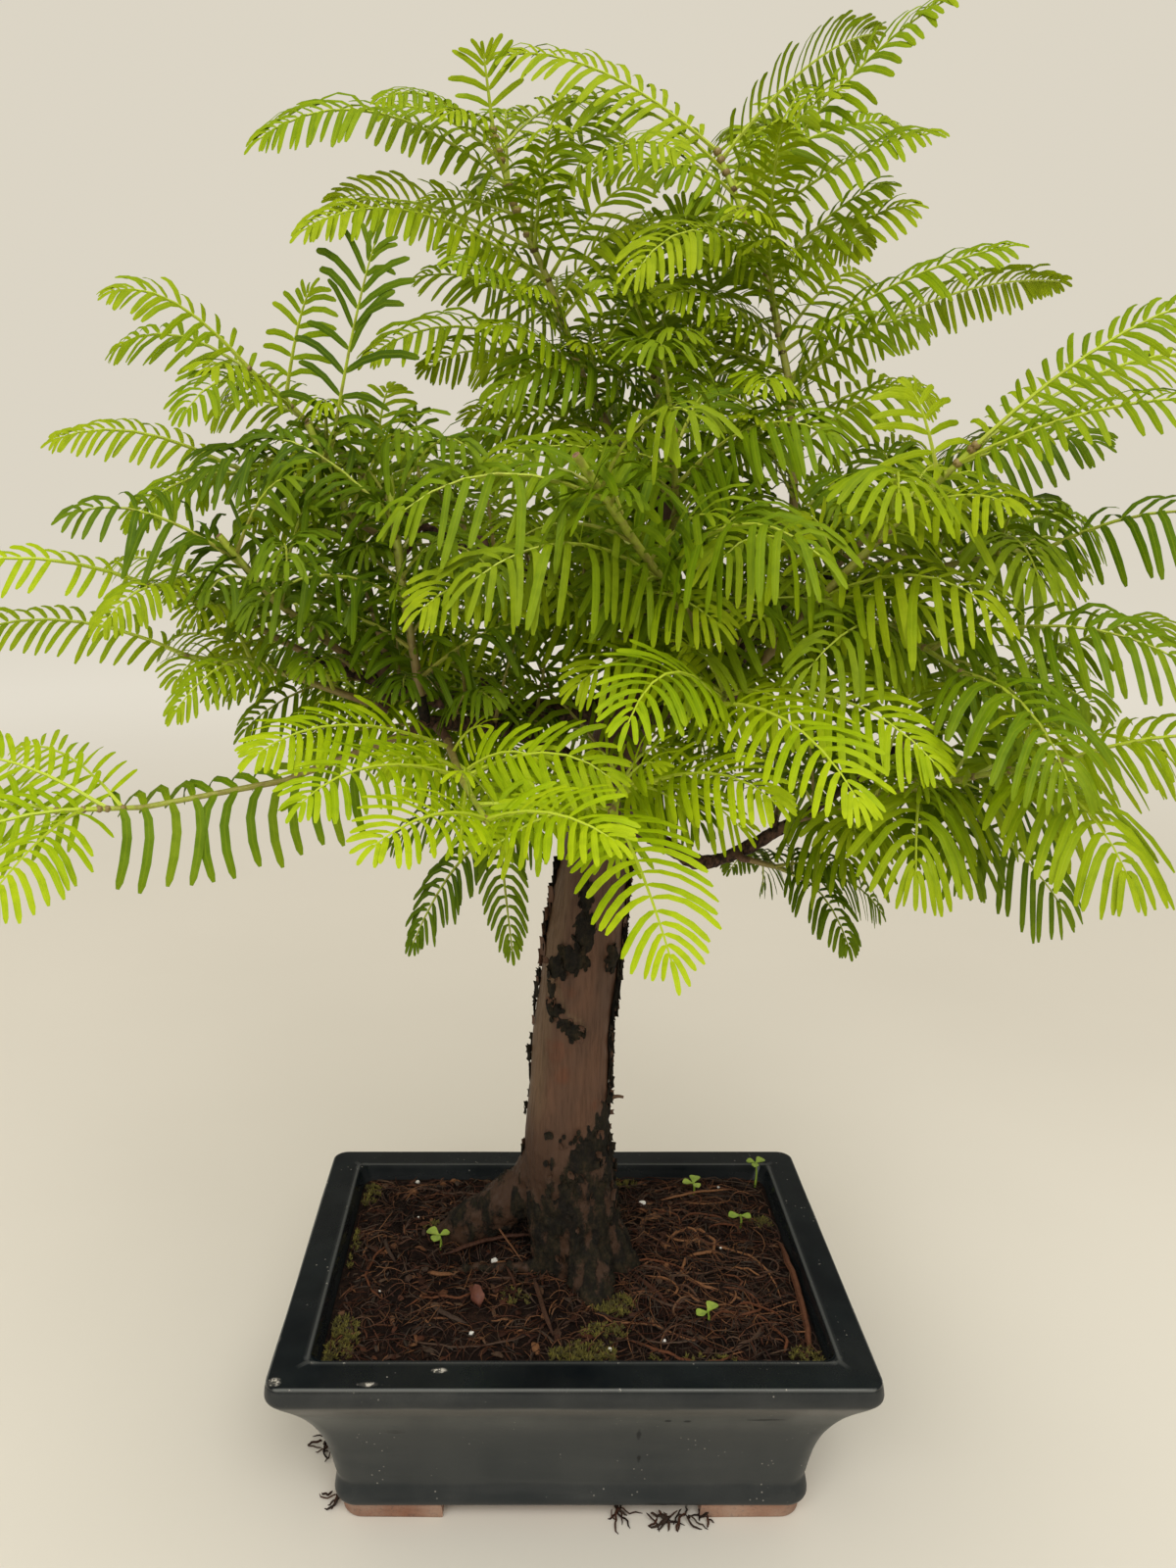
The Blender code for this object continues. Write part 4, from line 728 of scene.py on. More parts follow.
def footMesh(signX, signY):
    # a corner foot, an L in plan with a rounded outer corner and a soft lower edge
    look = potLook
    outline = [(-look["footLong"], 0.0)]
    for step in range(look["cornerSteps"] + 1):
        angle = math.radians(90 - 90 * step / look["cornerSteps"])
        outline.append([look["footCorner"] * (part - 1) for part in (math.cos(angle), math.sin(angle))])
    wide, deep = look["footWide"], look["footDeep"]
    outline += [(0.0, -deep), (-wide, -deep), (-wide, -wide), (-look["footLong"], -wide)]
    points = []
    levels = [(0.0, 0.8), (0.25, 0.3), (0.9, 0.0), (look["footTop"], 0.0)]
    middle = np.mean(outline, axis=0)
    for height, tuck in levels:
        lean = look["footTaper"] * (1 - height / look["footTop"])
        for x, y in outline:
            inward = unit(middle - np.array([x, y])) * tuck
            farX = look["footOuter"][0] - lean + x + inward[0]
            farY = look["footOuter"][1] - lean + y + inward[1]
            points.append((signX * farX, signY * farY, height))
    faces = ringFaces(len(levels), len(outline))
    if signX * signY > 0:
        faces = [face[::-1] for face in faces]
    return newMesh("foot", points, faces)


def makePot():
    look = potLook
    profile = throughPoints(look["sections"], look["stepsPerSection"])
    profile[:, 0] = np.minimum(profile[:, 0], look["rimTop"])
    rings = [roundedRing(*row, look["cornerSteps"], look["sideSteps"]) for row in profile]
    sides = len(rings[0])
    points = np.array(rings)
    flat = points.reshape(-1, 3)
    # the hand-made wall is a little uneven
    wave = noiseAt(flat, 0.018) * 0.5 + noiseAt(flat, 0.06) * 0.14
    bulge = unit(flat * (1, 1, 0)) * (wave * look["uneven"])[:, None]
    flat += np.where((flat[:, 2:] > 9.0) & (flat[:, 2:] < 69.0), bulge, 0.0)
    widest = np.array(look["rimOuter"])
    flat[:, :2] = np.clip(flat[:, :2], -widest, widest)
    faces = [face[::-1] for face in ringFaces(len(rings), sides)]
    pot = looseObject("pot_body", newMesh("glazed_pot", flat, faces))
    feet = [looseObject("foot", footMesh(sx, sy)) for sx in (-1, 1) for sy in (-1, 1)]
    joinOrCut(pot, "UNION", feet)
    drills = []
    for x in (-look["drainX"], look["drainX"]):
        rod = tubeShape([(x, 0, -5), (x, 0, 7.5), (x, 0, 20)], look["drainRadius"], 28)
        drills.append(looseObject("drill", newMesh("drill", *rod)))
    joinOrCut(pot, "DIFFERENCE", drills)
    mesh = pot.data
    mesh.materials.clear()
    for material in (glaze, bareClay, rimGlaze):
        mesh.materials.append(material)
    kinds = []
    for face in mesh.polygons:
        x, y, z = np.array(face.center) / mm
        below = z < 66 and (abs(x) > 81.9 or abs(y) > 55) and face.normal.z < 0.2
        outside = abs(x) > 101.0 or abs(y) > 74.0 or below
        kinds.append(1 if z < look["clayBelow"] else 0 if outside and z < look["rimGlazeFrom"] else 2)
    mesh.polygons.foreach_set("material_index", kinds)
    x, y, z = pointValues(mesh, "co").T / mm

    def past(halfX, halfY):
        # how far each point is past a rectangle
        return np.maximum(np.abs(x) - halfX, np.abs(y) - halfY)

    wall = smoothStep(68.2, 67.0, z) * (past(78, 50) > 0)
    # the lip and the inner edge take the pale edge colour, partly a painted highlight
    lip = smoothStep(0.55, 0.15, np.abs(past(*look["rimOuter"]) + 0.9))
    lip = lip * smoothStep(0.75, 0.25, np.abs(z - 68.7))
    inner = smoothStep(0.9, 0.2, np.abs(past(*look["rimInner"])))
    edge = np.maximum(lip, inner * smoothStep(68.6, 69.2, z) * 0.6)
    setMarks(mesh, wall, edge, edge * 0)
    bpy.data.objects.remove(pot, do_unlink=True)
    finishPiece("glazed_pot", mesh, ["pot"], sharp=34)


netLook = {"side": 24.0, "cells": 8, "strand": 0.45, "z": 12.75}


def makeDrainNet(name, centreX):
    # woven plastic strands over a drain hole, inside the room of the plain square
    look = netLook
    heap = Heap()
    half = look["side"] / 2 - look["strand"]
    for number in range(look["cells"] + 1):
        far = -half + 2 * half * number / look["cells"]
        steps = np.linspace(-half, half, 4 * look["cells"] + 1)
        wave = 0.16 * np.cos(np.pi * (steps + half) / (2 * half) * look["cells"] + math.pi * number)
        level = np.full_like(steps, far)
        for line in ([centreX + steps, level, look["z"] + wave], [centreX + level, steps, look["z"] - wave]):
            heap.add(*tubeShape(np.transpose(line), look["strand"] * 0.5, 6))
    heap.piece("net_" + name, [netting], "netting", [name])


soilLook = {
    "sections": [(12.3, 74.5, 47, 7.5), (14, 75.7, 48.2, 8.6), (45, 81, 53.5, 7.8), (64, 86.2, 59.1, 5.6)],
    "rings": [
        (0.97, 64.8), (0.93, 65.2), (0.8, 65.8), (0.64, 66.5), (0.47, 67.3), (0.3, 68), (0.14, 68.4),
        (0.02, 68.5),
    ],
    "shift": 3.0,
    # hollows, which the earth also darkens as painted shade: x, y, reach x, reach y, depth
    "hollows": [(-36, -2, 10, 5.5, 4.5), (-18, -15, 6, 4, 2.0), (34, -34, 8, 5, 1.6), (70, -30, 7, 6, 1.4)],
    "fibres": 3500,
    "fineFibres": 900,
    "chips": 200,
}


def pitDepth(x, y):
    depths = 0.0
    for px, py, reachX, reachY, depth in soilLook["hollows"]:
        depths += depth * math.exp(-((x - px) / reachX) ** 2 - ((y - py) / reachY) ** 2)
    return depths


def soilHeight(x, y):
    # the mound's height at a place, from its rings
    edge, halfX, halfY = soilLook["sections"][-1][:3]
    share = max(abs(x - soilLook["shift"] * 0.4) / halfX, abs(y) / halfY)
    shares, heights = zip(*(soilLook["rings"][::-1] + [(1.0, edge)]))
    level = float(np.interp(share, shares, heights)) - pitDepth(x, y)
    spot = Vector((x * 0.09, y * 0.09, 4.0))
    return level + (1.1 * noise.noise(spot) + 0.6 * noise.noise(spot * 2.7)) * min(1.0, (1.02 - share) * 14)


def soilCrumb(x, y):
    # the smaller lumps and hollows between strands
    spot = Vector((x * 0.28, y * 0.28, 9.0))
    fine = Vector((x * 0.8, y * 0.8, 2.0))
    return 0.9 * noise.noise(spot) + 0.55 * noise.noise(fine)


def makeSoil():
    halfX, halfY, radius = soilLook["sections"][-1][1:]
    sides = [roundedRing(*section, 6, 26) for section in throughPoints(soilLook["sections"], 3)]
    points = np.concatenate(sides).tolist()
    hollows = [0.0] * len(points)
    tops = throughPoints(soilLook["rings"], 7)
    for share, level in tops:
        for x, y in roundedRing(level, halfX * share, halfY * share, radius * share, 6, 26)[:, :2]:
            x += soilLook["shift"] * (1 - max(abs(x) / halfX, abs(y) / halfY))
            crumb = soilCrumb(x, y)
            # the depth of a hollow, which darkens the earth as painted shade
            hollows.append(max(0.0, -crumb * 1.2, pitDepth(x, y) * 0.4))
            points.append((x, y, soilHeight(x, y) + crumb - 0.5))
    heap = Heap()
    faces = ringFaces(len(sides) + len(tops), len(sides[0]))
    heap.add(points, faces, marks=np.outer(hollows, (1.0, 0.0, 0.0)))
    heap.piece("soil_body", [earth], "soil", ["soil"], sharp=80)


def insidePot(x, y, room=1.0):
    return abs(x) < 86.6 - room and abs(y) < 59.5 - room


def strandLine(chance, x, y, heading, length, curl, lift, steps=7):
    # a curved strand that follows the ground and lifts a little off it
    line = []
    turn = chance.uniform(-curl, curl)
    for step in range(steps):
        share = step / (steps - 1)
        z = soilHeight(x, y) + 0.35 * soilCrumb(x, y)
        line.append((x, y, z + lift * math.sin(math.pi * share) + chance.uniform(-0.15, 0.25)))
        heading += turn / steps + chance.uniform(-0.16, 0.16)
        x += math.cos(heading) * length / steps
        y += math.sin(heading) * length / steps
        if not insidePot(x, y):
            break
    return line


def addStrand(heap, line, radius, number, sides=4, flatten=1.0):
    if len(line) < 3:
        return
    steps = np.linspace(0, 1, len(line))
    radii = radius * np.interp(steps, [0, 0.15, 0.8, 1], [0.45, 1.0, 0.9, 0.3])
    points, faces = tubeShape(line, radii, sides, flatten)
    # a share of the strands is grey brown
    heap.add(points, faces, marks=ringMarks(points, number, steps, number * 37.0 % 1.0))


def makeMulch():
    # short red bark fibre on the left, and longer curled strands towards the right
    chance = random.Random(11)
    heap = Heap()
    for number in range(soilLook["fibres"]):
        x = chance.uniform(-85, 85)
        y = chance.uniform(-58, 58)
        if math.hypot((x - 5) / 17, y / 17) < 0.85:
            continue
        rightward = float(smoothStep(-10, 50, x))
        length = chance.choice([3, 4, 6, 8, 11]) * (1 + 0.9 * rightward)
        lift = chance.uniform(0.0, 1.5) * (0.6 + 0.4 * rightward)
        heading = chance.uniform(0, 2 * math.pi)
        line = strandLine(chance, x, y, heading, length, 0.7 + 1.6 * rightward, lift, 5)
        thick = chance.uniform(0.14, 0.46 - 0.1 * rightward)
        addStrand(heap, line, thick, chance.random() ** 1.9, 3, chance.uniform(0.5, 1.0))
    heap.piece("mulch_strands", [mulch], "soil")
    heap = Heap()
    for number in range(soilLook["fineFibres"]):
        x = chance.uniform(-84, 84)
        y = chance.uniform(-57, 57)
        length = chance.uniform(8, 20) if x < 10 else chance.uniform(14, 34)
        line = strandLine(chance, x, y, chance.uniform(0, 2 * math.pi), length, 3.2, 1.6, 8)
        addStrand(heap, line, chance.uniform(0.1, 0.21), 0.25 + 0.7 * chance.random(), 3)
    for number in range(soilLook["chips"]):
        x = chance.uniform(-82, 60)
        y = chance.uniform(-56, 56)
        heading = chance.uniform(0, math.pi)
        line = strandLine(chance, x, y, heading, chance.uniform(3, 8), 0.3, 0.5, 4)
        addStrand(heap, line, chance.uniform(0.7, 1.6), chance.uniform(0.3, 1.0), 5, 0.32)
    heap.piece("mulch_roots_and_chips", [mulch], "soil")


# Roots that lie on the soil: their radius, tone, and places on the ground. The first is thick and
# runs down the right edge.
groundRoots = [
    (1.25, 0.5, [(84, 10), (85, -8), (84.5, -24), (83, -40), (80, -55)]),
    (0.65, 0.9, [
        (38, 6), (43, 14), (52, 17), (58, 11), (55, 2), (47, -1), (43, -8), (46, -17), (56, -21),
        (64, -28), (63, -39),
    ]),
    (0.5, 0.95, [(36, 14), (46, 9), (57, 9), (68, 3), (76, -10), (78, -26)]),
    (0.7, 0.7, [(50, -54), (58, -51), (66, -43), (70, -38), (76, -36)]),
    (0.6, 0.6, [(70, -38), (74, -46), (72, -54)]),
    (0.55, 0.65, [(18, -46), (30, -52), (43, -57), (58, -55)]),
    (0.5, 0.7, [(26, -22), (36, -30), (50, -30), (60, -36), (74, -34)]),
    (0.45, 0.8, [(28, 12), (34, 24), (48, 30), (62, 24), (74, 26), (82, 20)]),
    (0.5, 0.5, [(30, 40), (44, 50), (62, 52), (78, 46)]),
    (0.45, 0.75, [(40, -10), (50, -12), (60, -6), (70, -12), (80, -8)]),
    (0.4, 0.7, [(-10, -40), (-24, -48), (-42, -50), (-60, -44)]),
    (0.5, 0.55, [(-30, -20), (-42, -26), (-52, -24), (-60, -30)]),
    (0.45, 0.6, [(-70, 10), (-76, -4), (-74, -18), (-66, -26)]),
    (0.55, 0.4, [(-18, 30), (-34, 42), (-54, 46), (-72, 50)]),
    (0.4, 0.85, [(8, -34), (18, -38), (30, -40), (38, -46), (52, -46)]),
    (0.45, 0.9, [(44, 20), (36, 26), (30, 18), (36, 8), (46, 4)]),
]


def makeGroundRoots():
    chance = random.Random(5)
    heap = Heap()
    for radius, tone, places in groundRoots:
        line = []
        for number, (px, py) in enumerate(throughPoints(places, 6)):
            wander = Vector((number * 0.35, px * 0.1, radius * 9))
            px += 1.3 * noise.noise(wander)
            py += 1.3 * noise.noise(wander + Vector((5, 5, 5)))
            if insidePot(px, py, radius + 0.4):
                lift = radius * 0.7 + 1.3 * noise.noise(Vector((number * 0.22, px * 0.03, 7.0)))
                line.append((px, py, soilHeight(px, py) + max(0.2, lift)))
        addStrand(heap, line, radius, tone, 6)
    for number in range(26):
        # loose loops among the strands on the right
        px, py = chance.uniform(26, 74), chance.uniform(-46, 44)
        reach, first, sweep = chance.uniform(4, 11), chance.uniform(0, 6.28), chance.uniform(1.6, 4.4)
        line = []
        for step in range(14):
            turn = first + sweep * step / 13
            x, y = px + reach * math.cos(turn), py + reach * 0.7 * math.sin(turn)
            if insidePot(x, y):
                lift = 0.9 + 1.2 * noise.noise(Vector((step * 0.3, px, 3.0)))
                line.append((x, y, soilHeight(x, y) + max(0.1, lift)))
        addStrand(heap, line, chance.uniform(0.3, 0.5), chance.uniform(0.4, 1.0), 5)
    heap.piece("orange_roots", [orangeRoot], "soil")


mossPads = [
    # x, y, reach x, reach y, tufts
    (-81, -46, 6.5, 13, 190), (4, -54, 12, 5.5, 200), (16, -30, 8, 5, 110), (80, -54, 6, 4.5, 60),
    (26, 53, 5, 4, 36), (-82, 46, 4, 9, 60), (-20, -26, 6, 4, 20), (12, -43, 9, 5, 60), (79, 25, 5, 4, 36),
    (-52, 20, 6, 3, 24), (-84, 8, 2.5, 14, 36), (40, -56, 16, 2.5, 24),
]


def makeMoss():
    # low cushions of moss, each tuft a star of short pointed leaves
    chance = random.Random(3)
    heap = Heap()
    for x, y, reachX, reachY, tufts in mossPads:
        for number in range(tufts):
            away = math.sqrt(chance.random())
            turn = chance.uniform(0, 2 * math.pi)
            px = x + reachX * away * math.cos(turn)
            py = y + reachY * away * math.sin(turn)
            if not insidePot(px, py, 1.6):
                continue
            ground = soilHeight(px, py)
            tone = chance.random()
            for leaf in range(5):
                lean = chance.uniform(0.2, 1.1)
                way = chance.uniform(0, 2 * math.pi)
                out = np.array([math.cos(way) * math.sin(lean), math.sin(way) * math.sin(lean), 0.0])
                out[2] = math.cos(lean)
                base = np.array([px, py, ground + chance.uniform(-0.2, 0.9 * (1.1 - away))])
                reach = chance.uniform(1.0, 2.1)
                line = [base, base + out * reach * 0.5, base + out * reach]
                heap.add(*tubeShape(line, [0.3, 0.24, 0.05], 3), marks=(tone, 0.0, 0.0))
    heap.piece("moss_cushions", [moss], "soil")


grains = [
    (-28, -3, 1.5), (-35, -44, 1.0), (32, 35, 1.4), (-63, 54, 0.9), (13, -51, 0.8), (32, -47, 0.8),
    (-70, -20, 0.5), (60, 6, 0.5), (-12, 40, 0.6), (66, 50, 0.6), (-60, 26, 0.5),
]


def makeLitter():
    # perlite grains, the dry red leaf and fallen twigs
    heap = Heap()
    for number, (x, y, size) in enumerate(grains):
        if insidePot(x, y, 0.5):
            spot = (x, y, soilHeight(x, y) + 0.7)
            grain = ballShape(spot, (size, size * 0.8, size * 0.8), 7, 9, number, 0.22)
            heap.add(*grain, marks=(number % 3 / 2, 0.0, 0.0))
    heap.piece("perlite_grains", [perlite], "soil")
    heap = Heap()
    centre = np.array([-34.0, -28.0, soilHeight(-34, -28) + 2.4])
    along = unit(np.array([0.35, -0.9, -0.25]))
    wide = unit(np.cross(along, [0, 0, 1.0]))
    up = np.cross(wide, along)
    rows = []
    for step in range(9):
        share = step / 8
        half = (2.6 + 0.5 * math.sin(share * 11)) * math.sin(math.pi * min(1.0, share * 0.92 + 0.06)) ** 0.8
        for side in (-1.0, -0.5, 0.0, 0.5, 1.0):
            cup = 1.6 * abs(side) ** 1.5 + 0.8 * math.sin(share * 5)
            rows.append(centre + along * (share - 0.5) * 8.5 + wide * side * half + up * cup)
    heap.add(*sheetShape(np.array(rows) + up * 0.18, 5, -up * 0.36), marks=(0.4, 0.0, 0.0))
    heap.piece("dry_leaf", [dryLeaf], "soil", sharp=70)
    heap = Heap()
    # a long twig that leans on the left root, a straight stub before the trunk, and roots over the hollow
    sticks = [
        ([(-36, 12.5, 84.5), (-27, 3, 77.5), (-17, -8, 69.5)], 0.42, 0.85),
        ([(-13, -19, 70.5), (-11, -27, 69), (-9.5, -36, 69.5), (-6.5, -46, 67.5)], 0.95, 0.72),
        ([(-47, 0, 68), (-36, 3, 70.5), (-25, 6, 71.5), (-12, 5, 73)], 0.85, 0.5),
        ([(-53, -11, 67.5), (-48, -13, 68.2), (-43, -12, 67.6)], 0.8, 0.9),
        ([(24, -12, 68), (31, -22, 68), (36, -30, 67)], 0.9, 0.5),
        ([(40, 37, 68), (55, 41, 69), (70, 45, 68)], 0.5, 1.0),
        ([(-72, 12, 66.5), (-70, 4, 67.5), (-66, -4, 67)], 0.8, 0.4),
        ([(-50, -30, 67), (-44, -36, 68), (-37, -40, 67.5)], 0.9, 0.7),
        ([(-20, -16, 68.5), (-30, -14, 67), (-42, -15, 66.6)], 0.8, 0.45),
        ([(-24, -8, 69), (-20, -20, 68), (-22, -32, 67)], 0.6, 0.5),
    ]
    for points, radius, tone in sticks:
        line = throughPoints(points, 5)
        for row in line:
            row[2] += 0.4 * noise.noise(Vector(row) * 0.4)
        addStrand(heap, line, radius, tone, 6)
    heap.piece("fallen_twigs", [mulch], "soil")


makePot()
makeDrainNet("drain_mesh_left", -potLook["drainX"])
makeDrainNet("drain_mesh_right", potLook["drainX"])
print("pot ready")
makeSoil()
makeMulch()
makeGroundRoots()
makeMoss()
makeLitter()
print("soil ready")


# The wood. Points carry their radius, and the first eight points of the trunk carry no limb.
trunkLine = [
    (5.5, 0, 38, 16), (5.5, 0, 52, 18), (5, 0, 64, 17.5), (3, 0, 80, 16.8), (1, 0, 98, 16.6),
    (-1, 0, 121, 15.4), (0, 0, 142, 14.4), (1, 0, 163, 13.9), (5, 0, 198, 13.5), (10, -1, 235, 11.6),
    (16, -1, 268, 9.4), (22, -1, 295, 7.4), (28, 0, 330, 4.8), (32, 0, 356, 3.4),
]
limbs = {
    "right": [
        (20, 0, 283, 6), (46, -8, 291, 4.8), (58, -12, 305, 4), (71, -15, 319, 3.3), (98, -21, 325, 2),
    ],
    "front_right": [(17, -3, 276, 4.6), (34, -24, 283, 3.4), (47, -40, 289, 2.6)],
    "low_right": [
        (11, -1, 245, 4.6), (32, -6, 234, 3.2), (47, -10, 228, 2.7), (70, -16, 241, 2.3),
        (104, -22, 267, 1.5),
    ],
    "left": [(17, -1, 279, 5.6), (-12, -12, 282, 4.2), (-40, -24, 286, 3.2), (-78, -41, 301, 1.9)],
    "low_left": [(10, -2, 252, 5), (-10, -20, 272, 3.6), (-30, -38, 281, 2.9), (-46, -55, 285, 2.2)],
    "front": [(9, -4, 248, 4), (15, -26, 262, 2.3)],
    "upper_left": [(25, 0, 308, 4.2), (0, -12, 322, 3.1), (-30, -20, 333, 2.4), (-55, -25, 346, 1.7)],
    "back": [(19, 3, 288, 4.6), (24, 24, 300, 3.2), (20, 50, 312, 2.4), (14, 66, 322, 1.8)],
    "back_left": [(11, 3, 246, 4.6), (2, 26, 256, 3.1), (-14, 44, 262, 2.4), (-30, 60, 268, 1.8)],
    "back_right": [(22, 2, 298, 4.2), (44, 18, 306, 3), (62, 36, 316, 2.3), (74, 48, 326, 1.7)],
}
roots = [
    [(-3, 2, 114, 9), (-14, 6, 96, 9), (-28, 10, 81, 8.4), (-41, 14, 70, 7.2), (-51, 17, 59, 5.4)],
    [(8, -2, 88, 9), (16, -5, 72, 8.4), (24, -8, 58, 6.2), (32, -10, 47, 4.2)],
    [(4, -6, 84, 9.4), (8, -17, 70, 8.4), (11, -28, 58, 6), (14, -38, 48, 4)],
    [(2, 6, 90, 9), (-5, 22, 70, 7), (-12, 38, 54, 4.5)],
    [(-8, -9, 69, 2.2), (-24, -9, 68, 1.8), (-38, -8, 67, 1.5), (-50, -9, 62, 1.2)],
]

